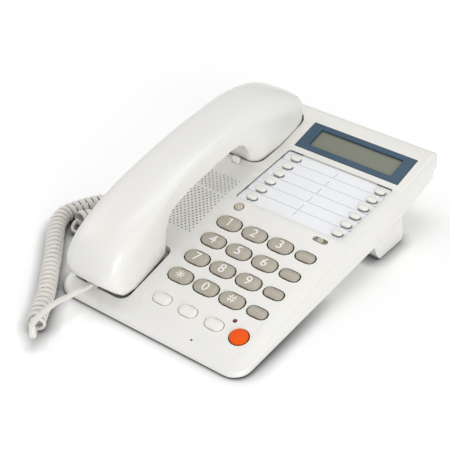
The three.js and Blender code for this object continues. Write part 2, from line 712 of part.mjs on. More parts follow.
// ---------------------------------------------------------------- lower housing
const PAN = 1.7; // floor thickness of the lower housing
const PAN_RISE = 0.2; // the floor lies this much above the rim of the walls
const PAN_FRONT = NOSE + 1.0;

// Block or hollow of the line socket, open downwards behind the stand.
function jackBox(grow, bottom, extra) {
  const { x, y, wide, long, deep } = LINE_JACK;
  const low = bottom(y - long / 2) - grow;
  const high = bottom(y) + deep + extra;
  return boxSolid(
    x - wide / 2 - grow, x + wide / 2 + grow, y - long / 2 - grow, y + long / 2 + grow, low, high,
  );
}

function lowerHousing() {
  const under = (y) => rimHeight(y) + PAN_RISE;
  const over = (y) => under(y) + PAN;
  const wallOut = DEPTH - REAR_STEP - 0.4;
  const wallIn = wallOut - 2.4;
  const ledge = REAR_LIP - GAP;
  const lip = DEPTH - WALL - 1.0;
  const profile = [
    [PAN_FRONT, under(PAN_FRONT)], [STAND_FRONT, under(STAND_FRONT)],
    [STAND_REAR, under(STAND_REAR)], [wallOut, under(wallOut)],
    [wallOut, ledge], [lip, ledge], [lip, ledge + 2], [wallIn, ledge + 2],
    [wallIn, over(wallIn)], [STAND_REAR, over(STAND_REAR)],
    [STAND_FRONT, over(STAND_FRONT)], [PAN_FRONT, over(PAN_FRONT)],
  ];
  const half = WIDTH / 2 - WALL - GAP;
  const ring = (z) => planRing(WALL + GAP, NOSE + 0.8, () => z);
  const outline = new Shell().skin([ring(-5), ring(80)]).solid();
  let pan = acrossSolid(profile, -half, half).intersect(outline);
  const keepOut = recessTool(MOUTH_RECESS, MOUTH_FLOOR, RECESS_WALL + GAP)
    .add(recessTool(EAR_RECESS, () => EAR_FLOOR, RECESS_WALL + GAP));
  pan = pan.subtract(keepOut).add(jackBox(LINE_JACK.wall, over, LINE_JACK.wall));
  return pan.subtract(jackBox(0, (y) => over(y) - 12, 12));
}

// ---------------------------------------------------------------- stand under the rear
function standProfile(drop) {
  const top = (y) => rimHeight(y) - GAP - drop;
  const rear = STAND_REAR + 2.4 - drop;
  const bottom = drop > 0 ? -4 : 0;
  return [
    [STAND_FRONT + 0.4 + drop * 1.5, top(STAND_FRONT + 0.4 + drop * 1.5)],
    [155.4 + drop, 5.6], [158.6 + drop, 1.2], [160.2 + drop, bottom],
    [STAND_REAR - drop, bottom], [rear - 0.6, 1.2], [rear, 3.4], [rear - 0.2, 9.0],
    [rear - 2.6, 15.6], [rear - 3.2, top(rear - 3.2)],
  ];
}

function deskStand() {
  const half = WIDTH / 2;
  const outer = acrossSolid(standProfile(0), -half, half);
  const inner = acrossSolid(standProfile(STAND_WALL), STAND_WALL - half, half - STAND_WALL);
  let stand = outer.subtract(inner);
  [-WIDTH / 4, 0, WIDTH / 4].forEach((x) => {
    const slab = boxSolid(x - 0.9, x + 0.9, 0, DEPTH, 4, 40);
    stand = stand.add(outer.intersect(slab));
  });
  return stand;
}

piece("lower_housing", "ivoryDark", toGeometry(lowerHousing()));
piece("desk_stand", "ivory", toGeometry(deskStand()));

const FOOT = { x: WIDTH / 2 - 16, y: 34 * ALONG, radius: 5, play: 0.3 };
[["foot_left", -1], ["foot_right", 1]].forEach(([name, side]) => {
  const place = (x, y, z) => V(side * FOOT.x + x, FOOT.y + y, z);
  const top = rimHeight(FOOT.y - FOOT.radius) + PAN_RISE - FOOT.play;
  const rings = [
    ringAt(circle(FOOT.radius - 0.5, 16), place, 0),
    ringAt(circle(FOOT.radius, 16), place, 0.6),
    ringAt(circle(FOOT.radius, 16), place, top),
  ];
  piece(name, "rubber", new Shell().skin(rings).geometry());
});

// ---------------------------------------------------------------- inside the base
const DIAL_BOARD = {
  ...area(-22.4, 72.4, 19.6, 116.6),
  x1: WIDTH / 2 - WALL - 1.1,
  y0: NOSE + 0.6,
};
const MAT_TOP = KEY_SUNK + KEY_TRAVEL + 0.3;

function keyMat() {
  const low = -MAT_TOP - MAT_THICK;
  let mat = facePlate(DIAL_BOARD, -0.6, low, -MAT_TOP, 2).solid();
  const slot = prism(ringerOutline(1), onFace(RINGER.x, RINGER.y), -9, 1).solid();
  const lamp = prism(circle(LAMP.radius + 0.5, 8), onFace(LAMP.x, LAMP.y), -9, 1).solid();
  mat = mat.subtract(slot.add(lamp));
  return mat;
}

function dialBoard() {
  const top = -MAT_TOP - MAT_THICK - POCKET_PLAY;
  const board = facePlate(DIAL_BOARD, 0, top - BOARD_THICK, top, 1).solid();
  return board.subtract(prism(ringerOutline(1), onFace(RINGER.x, RINGER.y), -9, 1).solid());
}

piece("key_mat", "rubber", toGeometry(keyMat()));
piece("dial_board", "green", toGeometry(dialBoard()));
const memoryBoardLow = MEMORY_BOARD_TOP - 1.2;
piece("memory_board", "green", facePlate(MEMORY_BOARD, 0, memoryBoardLow, MEMORY_BOARD_TOP, 1).geometry());

function speaker() {
  const place = onFace(SPEAKER.x, SPEAKER.y);
  const rings = [
    ringAt(circle(SPEAKER.magnet, 16), place, -13.5),
    ringAt(circle(SPEAKER.magnet, 16), place, -9.5),
    ringAt(circle(SPEAKER.radius - 2, 16), place, -6.8),
    ringAt(circle(SPEAKER.radius, 16), place, -6.4),
    ringAt(circle(SPEAKER.radius, 16), place, SPEAKER.low),
    ringAt(circle(SPEAKER.radius - 3, 16), place, SPEAKER.low),
    ringAt(circle(SPEAKER.magnet * 0.6, 16), place, -8.2),
  ];
  return new Shell().skin(rings).geometry();
}

piece("speaker", "dark", speaker());

// ---------------------------------------------------------------- display and card
function displayWindow() {
  const plate = facePlate(WINDOW, 0, -WINDOW_THICK, 0.25, 0.8).solid();
  return plate.subtract(facePlate(GLASS, 0, -5, 3, 0.6).solid());
}

piece("display_window", "blue", toGeometry(displayWindow()));
const lcdTop = -WINDOW_THICK - POCKET_PLAY;
piece("lcd_panel", "lcd", facePlate(GLASS, LCD_MARGIN, lcdTop - LCD_THICK, lcdTop, 0.4).geometry());

function memoryHoles(grow) {
  const keys = KEYS.filter((key) => key.name.startsWith("memory"));
  return faceCutters(keys.map(({ x, y, outline }) => {
    return { outline: grown(outline, grow), x, y, low: -8, high: 3 };
  }));
}

const cardLow = -(CARD_THICK + COVER_THICK + POCKET_PLAY - 0.1);
const cardPlate = facePlate(CARD, 0, cardLow, cardLow + CARD_THICK, 1.6).solid();
piece("index_card", "card", toGeometry(cardPlate.subtract(memoryHoles(KEY_GAP + 0.3))));
const coverLow = 0.1 - COVER_THICK;
const coverPlate = facePlate(CARD, 0, coverLow, 0.1, 1.8).solid();
piece("card_cover", "clear", toGeometry(coverPlate.subtract(memoryHoles(KEY_GAP))));

// ---------------------------------------------------------------- switches and lamp
function ringerSwitch() {
  const place = onFace(RINGER.x, RINGER.y);
  const knob = roundedRect(RINGER.knob, RINGER.width - 0.8, 1.2, 3);
  const top = prism(knob, place, -RINGER.depth + 0.3, 0.5).solid();
  const stem = prism(roundedRect(1.6, 0.9, 0.3, 1), place, -5, -1).solid();
  const ribs = [-1, 0, 1].map((i) => {
    const at = onFace(RINGER.x + i * 1.1, RINGER.y);
    return prism(roundedRect(0.45, RINGER.width - 1.8, 0.2, 1), at, 0, 0.8).solid();
  });
  return ribs.reduce((all, rib) => all.add(rib), top.add(stem));
}

piece("ringer_switch", "tan", toGeometry(ringerSwitch()));

const lampPlace = onFace(LAMP.x, LAMP.y);
const lampRings = [[1, -2.6], [1, 0.2], [0.6, 0.6]].map(([share, height]) => {
  return ringAt(circle(LAMP.radius * share, 10), lampPlace, height);
});
piece("led_lens", "lamp", new Shell().skin(lampRings).geometry());

const hookOutline = roundedRect(HOOK.wide, HOOK.long, 1.2, 2);
const hookRings = [
  ringAt(hookOutline, hookPlace, -5.0),
  ringAt(hookOutline, hookPlace, -0.4),
  ringAt(grown(hookOutline, -0.8), hookPlace, 0.2),
];
piece("hook_switch", "white", new Shell().skin(hookRings).geometry());

const tabPlace = onFace(WALL_HOOK.x, WALL_HOOK.y);
const tabOutline = roundedRect(WALL_HOOK.wide, WALL_HOOK.thick, 0.5, 1);
const tabRings = [
  ringAt(tabOutline, tabPlace, -5.0),
  ringAt(tabOutline, tabPlace, WALL_HOOK.high - 0.6),
  ringAt(grown(tabOutline, -0.5), tabPlace, WALL_HOOK.high),
];
piece("wall_hook", "white", new Shell().skin(tabRings).geometry());

// ---------------------------------------------------------------- handset
const COVER = 2.0; // thickness of the inner cover of the handset
const UNDERSIDE = [
  [19.8, 3.2], [40, 2.3], [59.4, 1.5], [61.0, 5], [62.7, 14], [65.1, 25], [67.9, 31.7],
  [72.7, 35.2], [80, 36.1], [140, 36.1], [147.9, 35.2], [152.9, 31.7], [156.9, 25],
  [161.2, 14], [164.1, 5], [165.6, 0.6], [219.2, 0.6],
];

// The underside line shifted into the handset by an amount.
function undersideAt(amount) {
  return UNDERSIDE.map(([u, w], i) => {
    const [au, aw] = UNDERSIDE[Math.max(i - 1, 0)];
    const [bu, bw] = UNDERSIDE[Math.min(i + 1, UNDERSIDE.length - 1)];
    const length = Math.hypot(bu - au, bw - aw);
    return [u - (amount * (bw - aw)) / length, w + (amount * (bu - au)) / length];
  });
}

const NOSE_PLUG = { u: 8.6, w: 12.0 }; // front face of the plug in the mouth end

function plugSolid(grow) {
  const { wide, high, long } = PLUG;
  const profile = [
    [NOSE_PLUG.u - grow, NOSE_PLUG.w - high / 2 - grow],
    [NOSE_PLUG.u + long + grow, NOSE_PLUG.w - high / 2 - grow],
    [NOSE_PLUG.u + long + grow, NOSE_PLUG.w + high / 2 + grow],
    [NOSE_PLUG.u - grow, NOSE_PLUG.w + high / 2 + grow],
  ];
  return handsetAcross(profile, wide / 2 + grow);
}

function soundHoles(u, rings, radius) {
  const holes = new Shell();
  rings.forEach(([distance, count]) => {
    for (let i = 0; i < count; i += 1) {
      const angle = (i / count) * 2 * Math.PI;
      const place = (x, y, n) => held(distance * Math.cos(angle) + x, u + distance * Math.sin(angle) + y, n);
      const outline = circle(radius, 6);
      holes.skin([ringAt(outline, place, -3), ringAt(outline, place, 5.5)]);
    }
  });
  return holes.solid();
}

function handsetBody() {
  const arch = handsetAcross(GRIP_ARCH, 40);
  const hollow = handsetHollow(HANDSET_WALL).subtract(cupCorners(HANDSET_WALL, 0));
  const body = handsetOuter().subtract(arch).subtract(cupCorners(0, 0)).subtract(hollow);
  return body.subtract(plugSolid(GAP));
}

function handsetInner() {
  const strip = UNDERSIDE.concat(undersideAt(COVER).reverse());
  const inset = HANDSET_WALL + GAP;
  const room = handsetHollow(inset).subtract(cupCorners(inset, GAP));
  let cover = handsetAcross(strip, 40).intersect(room);
  cover = cover.subtract(soundHoles(192, [[0, 1], [4, 6], [8, 10]], 0.9));
  cover = cover.subtract(soundHoles(36, [[0, 1], [3, 4]], 0.8));
  return cover.subtract(plugSolid(GAP));
}

piece("handset_body", "ivory", toGeometry(handsetBody()));
piece("handset_inner", "ivory", toGeometry(handsetInner()));

function capsule(u, w, radius, high, sides) {
  const place = (x, y, n) => held(x, u + y, w + n);
  const rings = [
    ringAt(circle(radius, sides), place, 0),
    ringAt(circle(radius, sides), place, high * 0.55),
    ringAt(circle(radius * 0.6, sides), place, high),
  ];
  return new Shell().skin(rings).geometry();
}

piece("receiver", "dark", capsule(192, 3.1, 15, 8, 20));
piece("handset_mic", "dark", capsule(36, 4.9, 4.8, 6, 12));
piece("handset_plug", "clear", toGeometry(plugSolid(0)));
piece("base_plug", "clear", toGeometry(boxSolid(
  -WIDTH / 2 - 0.4, -WIDTH / 2 - 0.4 + PLUG.long,
  JACK_Y - PLUG.wide / 2, JACK_Y + PLUG.wide / 2,
  JACK_Z - PLUG.high / 2, JACK_Z + PLUG.high / 2,
)));

// ---------------------------------------------------------------- cord
// Samples a smooth curve through points at even steps.
function samplePath(points, step) {
  const curve = new THREE.CatmullRomCurve3(points, false, "centripetal");
  curve.arcLengthDivisions = 2000;
  const count = Math.max(2, Math.round(curve.getLength() / step));
  return curve.getSpacedPoints(count);
}

// Frames carried along a path without twist, the first side level.
function carriedFrames(path) {
  const frames = [];
  let side = null;
  path.forEach((point, i) => {
    const before = path[Math.max(i - 1, 0)];
    const after = path[Math.min(i + 1, path.length - 1)];
    const ahead = after.clone().sub(before).normalize();
    if (!side) side = ahead.clone().cross(V(0, 0, 1));
    side = side.clone().addScaledVector(ahead, -side.dot(ahead)).normalize();
    frames.push({ point, ahead, side, up: side.clone().cross(ahead) });
  });
  return frames;
}

function sweep(frames, outline) {
  const rings = frames.map(({ point, side, up }) => {
    return outline.map(([x, y]) => point.clone().addScaledVector(side, x).addScaledVector(up, y));
  });
  return new Shell().skin(rings.reverse()).geometry();
}

const cableOutline = roundedRect(CABLE.wide, CABLE.thick, CABLE.thick / 2 - 0.05, 1);

// Handset lead: out of the nose, forward over the front edge, then down and back under itself.
const TURN = { x: -48.6, y: -48.4, z: 14.9, radius: 4.25, hx: 0.62, hy: -0.785 };

function handsetLeadPath() {
  const start = held(0, NOSE_PLUG.u - 0.3, NOSE_PLUG.w);
  const points = [
    start,
    V(start.x - 0.2, start.y - 4, start.z - 0.6),
    V(-50.5, -4, 13.2),
    V(-51.9, -12, 13.0),
    V(-52.4, -21, 14.5),
    V(-51.9, -31, 15.2),
    V(-50.7, -41, 15.2),
  ];
  for (let i = 0; i <= 8; i += 1) {
    const angle = (Math.PI * i) / 8;
    const reach = TURN.radius * Math.sin(angle);
    const z = TURN.z - TURN.radius * (1 - Math.cos(angle));
    points.push(V(TURN.x + TURN.hx * reach, TURN.y + TURN.hy * reach, z));
  }
  points.push(V(TURN.x - TURN.hx * 3, TURN.y - TURN.hy * 3, TURN.z - 2 * TURN.radius));
  return points;
}

const handsetLead = samplePath(handsetLeadPath(), 2.2);
piece("handset_lead", "cord", sweep(carriedFrames(handsetLead), cableOutline));

const COIL_Z = COIL_DIAMETER / 2 + 0.05;
const coilStart = handsetLead[handsetLead.length - 1];
const COIL_PATH = [
  [coilStart.x - TURN.hx * 0.3, coilStart.y - TURN.hy * 0.3],
  [coilStart.x - TURN.hx * 4, coilStart.y - TURN.hy * 4],
  [-59.8, -32.8], [-67.4, -20.1], [-75.7, -8.1], [-88.6, 8.1], [-97.3, 19.4], [-113.6, 38.7],
  [-122.6, 50.2], [-126.6, 60.2], [-124.4, 68.6], [-120.6, 76.4], [-116.6, 84.4],
  [-110.6, 91.4], [-102.2, 93.2], [-96.2, 87.6], [-97.4, 79.0], [-103.4, 73.0],
  [-109.6, 67.4], [-112.6, 61.6], [-112.9, 59.4],
];

function coilGeometry() {
  const startZ = coilStart.z;
  const points = COIL_PATH.map(([x, y], i) => V(x, y, i < 1 ? startZ : COIL_Z));
  const fine = samplePath(points, 0.25);
  const frames = carriedFrames(fine);
  const length = (fine.length - 1) * fine[0].distanceTo(fine[1]);
  const wire = { axial: 3.9, radial: 2.2 };
  const reach = (COIL_DIAMETER - wire.radial) / 2;
  const lead = 3.6; // straight run at each end
  const ramp = 6;
  const centre = [];
  let phase = 0;
  let turns = 0;
  const stepLength = length / (fine.length - 1);
  let travelled = 0;
  let nextPhase = 0;
  frames.forEach((frame, i) => {
    const s = i * stepLength;
    const fromEnd = Math.min(s, length - s);
    const a = Math.max(i - 12, 0);
    const b = Math.min(i + 12, frames.length - 1);
    const bend = frames[a].ahead.angleTo(frames[b].ahead) / ((b - a) * stepLength);
    const inside = 1 - bend * (COIL_DIAMETER / 2);
    const pitch = Math.max(COIL_PITCH, (wire.axial + COIL_GAP) / Math.max(inside, 0.2));
    if (fromEnd >= lead) phase += (2 * Math.PI * stepLength) / pitch;
    turns = phase / (2 * Math.PI);
    const share = THREE.MathUtils.smoothstep(fromEnd, lead, lead + ramp);
    if (phase >= nextPhase || fromEnd < lead) {
      if (fromEnd >= lead) nextPhase = phase + (2 * Math.PI) / COIL_STEPS - 1e-6;
      const out = frame.side.clone().multiplyScalar(Math.cos(phase));
      out.addScaledVector(frame.up, Math.sin(phase));
      centre.push({ frame, out, radius: reach * share, s });
    }
    travelled = s;
  });
  const kept = centre.filter((item, i) => {
    const inLead = item.s < lead || length - item.s < lead;
    return !inLead || i === 0 || i === centre.length - 1 || i % 9 === 0;
  });
  const path = kept.map(({ frame, out, radius }) => frame.point.clone().addScaledVector(out, radius));
  const rings = path.map((point, i) => {
    const before = path[Math.max(i - 1, 0)];
    const after = path[Math.min(i + 1, path.length - 1)];
    const ahead = after.clone().sub(before).normalize();
    const out = kept[i].out.clone();
    out.addScaledVector(ahead, -out.dot(ahead)).normalize();
    const along = ahead.clone().cross(out);
    const ring = [];
    for (let k = 0; k < 5; k += 1) {
      const angle = (k / 5) * 2 * Math.PI;
      const r = (wire.radial / 2) * Math.cos(angle);
      const w = (wire.axial / 2) * Math.sin(angle);
      ring.push(point.clone().addScaledVector(out, r).addScaledVector(along, w));
    }
    return ring;
  });
  reportSelfGap(rings);
  console.log(`coil: ${turns.toFixed(1)} curls, ${travelled.toFixed(0)} mm along its axis`);
  return new Shell().skin(rings).geometry();
}

// Least distance between points of the tube that are at least two thirds of a curl apart.
function reportSelfGap(rings) {
  let least = Infinity;
  const apart = Math.round(COIL_STEPS * 0.66);
  rings.forEach((ring, i) => {
    for (let j = i + apart; j < Math.min(i + 3 * COIL_STEPS, rings.length); j += 1) {
      ring.forEach((p) => {
        rings[j].forEach((q) => {
          least = Math.min(least, p.distanceTo(q));
        });
      });
    }
  });
  console.log(`coil: least self-gap ${least.toFixed(2)} mm`);
}

piece("cord_coil", "cord", coilGeometry());

// Base lead: back beside the coil, along the wall and up into the socket in the left wall.
function baseLeadPath() {
  const [endX, endY] = COIL_PATH[COIL_PATH.length - 1];
  const low = CABLE.thick / 2 + 0.3;
  return [
    V(endX, endY - 0.6, COIL_Z),
    V(endX - 0.2, endY - 2.6, 5.6),
    V(endX, endY - 4.8, 3.4),
    V(endX + 2.3, endY - 6.0, 1.9),
    V(endX + 7.9, endY - 5.2, low),
    V(-98, 55.2, low),
    V(-91.5, 56.2, low),
    V(-87, 59, 2.6),
    V(-84.6, 63, 5.8),
    V(-83.6, 67, 9.6),
    V(-82.2, 70.4, 11.9),
    V(-79.6, 72.2, JACK_Z),
    V(-WIDTH / 2 - 0.7, JACK_Y, JACK_Z),
  ];
}

piece("base_lead", "cord", sweep(carriedFrames(samplePath(baseLeadPath(), 2.2)), cableOutline));

export default telephone;
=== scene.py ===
# %% [markdown]
# # A corded desk telephone
# The telephone is a wedge of ivory plastic with a handset lying in two hollows,
# a keypad, a card panel, a display and a curly cord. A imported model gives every
# part its exact shape and place. This lesson dresses that model: it adds the
# camera, the light, the cord, softer moulded edges, the figures on the keys and
# a material for every surface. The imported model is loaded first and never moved.

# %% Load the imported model
import json
import math

import bmesh
import bpy
from mathutils import Matrix, Vector


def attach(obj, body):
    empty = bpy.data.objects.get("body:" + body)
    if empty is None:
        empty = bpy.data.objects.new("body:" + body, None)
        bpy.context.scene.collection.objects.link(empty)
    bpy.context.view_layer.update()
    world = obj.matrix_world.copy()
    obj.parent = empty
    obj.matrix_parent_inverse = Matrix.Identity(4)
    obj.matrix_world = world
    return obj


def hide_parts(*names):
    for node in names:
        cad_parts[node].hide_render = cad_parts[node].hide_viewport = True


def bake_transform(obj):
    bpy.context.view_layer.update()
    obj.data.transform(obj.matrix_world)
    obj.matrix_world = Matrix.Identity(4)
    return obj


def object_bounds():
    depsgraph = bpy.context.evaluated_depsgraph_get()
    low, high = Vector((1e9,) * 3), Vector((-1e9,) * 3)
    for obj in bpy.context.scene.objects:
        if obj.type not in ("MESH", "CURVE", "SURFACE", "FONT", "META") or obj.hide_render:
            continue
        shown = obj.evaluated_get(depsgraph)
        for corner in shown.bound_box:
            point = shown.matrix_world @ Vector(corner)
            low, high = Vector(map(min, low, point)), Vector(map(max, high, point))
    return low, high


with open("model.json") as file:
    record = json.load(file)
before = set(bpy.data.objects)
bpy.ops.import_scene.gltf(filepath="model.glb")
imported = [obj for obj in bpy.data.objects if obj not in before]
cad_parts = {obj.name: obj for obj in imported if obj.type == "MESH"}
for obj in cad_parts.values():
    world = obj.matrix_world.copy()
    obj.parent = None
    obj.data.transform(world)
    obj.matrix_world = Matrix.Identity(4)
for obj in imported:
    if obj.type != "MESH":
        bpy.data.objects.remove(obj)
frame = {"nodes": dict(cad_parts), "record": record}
cad_low, cad_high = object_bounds()
MM = 0.001
NODE_BODY = {
    node: body
    for body, nodes in frame["record"]["behaviour"]["bodies"].items()
    for node in nodes
}
print(len(frame["nodes"]), "parts from", tuple(cad_low), "to", tuple(cad_high))

# %% [markdown]
# ## Camera
# A photograph of a product is usually taken from some way off with a long lens,
# so that parallel edges stay nearly parallel. The direction here is 38 degrees
# round from the front and 35 degrees above the table. The direction, the distance
# and the focal length together fix the whole picture.

# %% Camera
CAMERA_TURN = math.radians(37.69)
CAMERA_RISE = math.radians(35.01)
CAMERA_PLACE = (0.412, -0.56475, 0.50963)
FOCAL_LENGTH = 99.84
SENSOR_WIDTH = 36.0

lens = bpy.data.cameras.new("photo_camera")
lens.lens = FOCAL_LENGTH
lens.sensor_width = SENSOR_WIDTH
lens.clip_start = 0.05
camera = bpy.data.objects.new("photo_camera", lens)
bpy.context.scene.collection.objects.link(camera)
looking = Vector((
    -math.sin(CAMERA_TURN) * math.cos(CAMERA_RISE),
    math.cos(CAMERA_TURN) * math.cos(CAMERA_RISE),
    -math.sin(CAMERA_RISE),
))
camera.location = CAMERA_PLACE
camera.rotation_euler = looking.to_track_quat("-Z", "Y").to_euler()
bpy.context.scene.camera = camera
bpy.context.scene.view_settings.view_transform = "Standard"
print("camera looks along", tuple(round(v, 3) for v in looking))

# %% [markdown]
# ## The cord
# A telephone cord is a flat cable with four thin wires. Its middle is wound into
# curls and its ends are left straight. It is a sweep: an oval ring is carried
# along a line of points and a band of faces is pulled out at every step. The
# ring has to keep its flat side the same way round, so a direction is carried
# along with it from point to point.

# %% Helpers for the cord
CABLE_WIDE = 4.2
CABLE_THICK = 2.3
HALF_DEPTH = 116.0


def at_table(points):
    """Points measured from the front edge of the telephone, in mm, put in the frame."""
    return [Vector((x, y - HALF_DEPTH, z)) for x, y, z in points]


def smooth_line(points, step):
    """A curve through the points, sampled about every step millimetres."""
    ends = [points[0] * 2 - points[1], *points, points[-1] * 2 - points[-2]]
    line = []
    for a, b, c, d in zip(ends, ends[1:], ends[2:], ends[3:]):
        count = max(2, round((c - b).length / step))
        for i in range(count):
            t = i / count
            line.append(0.5 * (
                2 * b + (c - a) * t + (2 * a - 5 * b + 4 * c - d) * t * t
                + (3 * b - a - 3 * c + d) * t * t * t
            ))
    line.append(points[-1].copy())
    return line


def length_of(line):
    """The length of a line of points."""
    return sum((b - a).length for a, b in zip(line, line[1:]))


def carried_sides(line, first_side):
    """For each point, the way along, a side and a third direction, with no twist."""
    frames = []
    side = Vector(first_side)
    for i in range(len(line)):
        along = (line[min(i + 1, len(line) - 1)] - line[max(i - 1, 0)]).normalized()
        side = (side - along * side.dot(along)).normalized()
        frames.append((line[i], along, side, along.cross(side)))
    return frames


def pull_tube(name, rings):
    """A closed tube: the first ring is a circle that is extruded from ring to ring."""
    tube = bmesh.new()
    count = len(rings[0])
    made = bmesh.ops.create_circle(tube, cap_ends=True, segments=count, radius=1.0)
    edge_loop = tube.edges[:]
    loop = made["verts"]
    for vert, place in zip(loop, rings[0]):
        vert.co = place
    for ring in rings[1:]:
        pulled = bmesh.ops.extrude_edge_only(tube, edges=edge_loop)["geom"]
        new_verts = [g for g in pulled if isinstance(g, bmesh.types.BMVert)]
        new_edges = [
            g for g in pulled
            if isinstance(g, bmesh.types.BMEdge) and all(v in new_verts for v in g.verts)
        ]
        follows = {}
        for vert in new_verts:
            for edge in vert.link_edges:
                other = edge.other_vert(vert)
                if other in loop:
                    follows[other] = vert
        loop = [follows[v] for v in loop]
        for vert, place in zip(loop, ring):
            vert.co = place
        edge_loop = new_edges
    bmesh.ops.holes_fill(tube, edges=edge_loop, sides=count)
    bmesh.ops.recalc_face_normals(tube, faces=tube.faces)
    return finish_mesh(name, tube, 50)


def finish_mesh(name, shape, sharp_degrees):
    """Scales a shape from millimetres to metres and puts it in the scene, shaded.

    Edges that bend by more than sharp_degrees stay sharp.
    """
    bmesh.ops.scale(shape, vec=(MM, MM, MM), verts=shape.verts)
    mesh = bpy.data.meshes.new(name)
    shape.to_mesh(mesh)
    shape.free()
    mesh.shade_smooth()
    mesh.set_sharp_from_angle(angle=math.radians(sharp_degrees))
    made = bpy.data.objects.new(name, mesh)
    bpy.context.scene.collection.objects.link(made)
    return made


def oval(point, side, third, wide, thick, count):
    """A flattened circle of points, fuller at its flat sides than an ellipse."""
    ring = []
    for i in range(count):
        turn = 2 * math.pi * i / count
        c, s = math.cos(turn), math.sin(turn)
        u = math.copysign(abs(c) ** 0.8, c) * wide / 2
        v = math.copysign(abs(s) ** 0.8, s) * thick / 2
        ring.append(point + side * u + third * v)
    return ring


def flat_cable(name, line, first_side):
    """A straight or bent piece of the cable, as wide as it is all along."""
    frames = carried_sides(line, first_side)
    return pull_tube(name, [
        oval(point, side, third, CABLE_WIDE, CABLE_THICK, 12)
        for point, _, side, third in frames
    ])


print("helpers for the cord are ready")

# %% The straight leads
# Near the handset's end the lead turns back under itself, in half a circle.
TURN_X, TURN_Y, TURN_Z = -48.6, -48.2, 14.9
TURN_RADIUS = 4.25
TURN_AIM_X, TURN_AIM_Y = 0.62, -0.7

U_TURN = []
for step in range(9):
    reach = TURN_RADIUS * math.sin(math.pi * step / 8)
    fall = TURN_RADIUS * (1 - math.cos(math.pi * step / 8))
    U_TURN.append((TURN_X + TURN_AIM_X * reach, TURN_Y + TURN_AIM_Y * reach, TURN_Z - fall))
HANDSET_LEAD = at_table([
    (-49.3, 5.95, 13.32), (-49.5, 1.95, 12.72), (-50.5, -4, 13.2), (-51.9, -12, 13.0),
    (-52.4, -21, 14.5), (-51.9, -31, 15.2), (-50.7, -41, 15.2), *U_TURN,
    (-50.46, -46.05, 6.4),
])
BASE_LEAD = at_table([
    (-112.9, 58.8, 6.35), (-113.1, 56.8, 5.6), (-112.9, 54.6, 3.4), (-110.6, 53.4, 2.1),
    (-105, 54.2, 1.65), (-98, 55.2, 1.65), (-91.5, 56.2, 1.65), (-87, 59, 2.6),
    (-84.6, 63, 5.8), (-83.6, 67, 9.6), (-82.2, 70.4, 11.9), (-79.6, 72.2, 12.6),
    (-76.7, 72.5, 12.6),
])
lead_line = smooth_line(HANDSET_LEAD, 1.5)
base_line = smooth_line(BASE_LEAD, 1.5)
handset_flex = flat_cable("handset_flex", lead_line, (1, 0, 0))
base_flex = flat_cable("base_flex", base_line, (0, 1, 0))
print("leads", round(length_of(lead_line)), "and", round(length_of(base_line)), "mm")

# %% The curly middle
# In mm: how far the cable stands out from the axis, how far apart the curls are,
# the cable in a curl, and how the straight ends run over into curls.
CURL_REACH = 5.2
CURL_PITCH = 4.75
CURL_WIDE = 4.1
CURL_THICK = 2.3
STRAIGHT = 3.6
RAMP = 6.0
END_STRAIGHT = 1.2
END_RAMP = 3.0
LAST_CURLS = 24.0
# Rings to a curl, points on either side that tell a bend, points to a ring where
# the cable is straight, from what share on it is curled, and how its width bends.
CURL_STEPS = 20
BEND_SPAN = 12
PLAIN_STEP = 6
CURLED = 0.02
SQUEEZE = 1.05
NARROWEST, NARROWEST_LAST, WIDEST = 0.55, 0.9, 1.4
COIL_AXIS = at_table([
    (-50.46, -46.05, 6.4), (-52.8, -42.4, 6.35), (-59.8, -32.8, 6.35),
    (-67.4, -20.1, 6.35), (-75.7, -8.1, 6.35), (-88.6, 8.1, 6.35), (-97.3, 19.4, 6.35),
    (-113.6, 38.7, 6.35), (-121.9, 50.2, 6.35), (-125.4, 60.2, 6.35),
    (-123.8, 68.6, 6.35), (-120.6, 76.4, 6.35), (-116.6, 84.4, 6.35),
    (-110.6, 91.4, 6.35), (-102.2, 93.2, 6.35), (-96.2, 87.6, 6.35),
    (-97.4, 79.0, 6.35), (-103.4, 73.0, 6.35), (-109.6, 67.4, 6.35),
    (-112.6, 61.6, 6.35), (-112.9, 59.4, 6.35),
])
axis_line = smooth_line(COIL_AXIS, 0.25)
axis_length = length_of(axis_line)


def curl_frames():
    """The curls: the middle of the cable, point by point, and a ring at each point.

    Where the axis bends, the cable is narrower on the inside of the bend and wider
    on the outside, so that the curls stay close together and never meet.
    """
    frames = carried_sides(axis_line, (0, 0, 1))
    path, rings = [], []
    travelled = turn = next_turn = 0.0
    last = len(frames) - 1
    for i in range(len(frames)):
        gone = (axis_line[i] - axis_line[max(i - 1, 0)]).length
        travelled += gone
        a, b = max(i - BEND_SPAN, 0), min(i + BEND_SPAN, last)
        bend = (frames[b][1] - frames[a][1]) / length_of(axis_line[a:b + 1])
        share = min(
            1.0, max(0.0, (travelled - STRAIGHT) / RAMP),
            max(0.0, (axis_length - travelled - END_STRAIGHT) / END_RAMP),
        )
        share = share * share * (3 - 2 * share)
        if share > 0:
            turn += 2 * math.pi * gone / CURL_PITCH
            if turn < next_turn:
                continue
            next_turn = turn + 2 * math.pi / CURL_STEPS
        elif i % PLAIN_STEP and i != last:
            continue
        point, along, side, third = frames[i]
        out = side * math.cos(turn) + third * math.sin(turn)
        centre = point + out * CURL_REACH * share
        squeeze = 1 - bend.dot(out) * CURL_REACH * SQUEEZE
        least = NARROWEST if axis_length - travelled > LAST_CURLS else NARROWEST_LAST
        wide = CURL_WIDE * min(WIDEST, max(least, squeeze))
        # A curl lies flat along the axis, and the straight ends lie flat across it.
        across = along if share > CURLED else along.cross(out)
        path.append(centre)
        rings.append(oval(centre, across, out, wide, CURL_THICK, 10))
    return path, rings


coil_path, coil_rings = curl_frames()
curly_cord = pull_tube("curly_cord", coil_rings)
print("curly part", round(axis_length), "mm long,", round(length_of(coil_path)), "of cable")

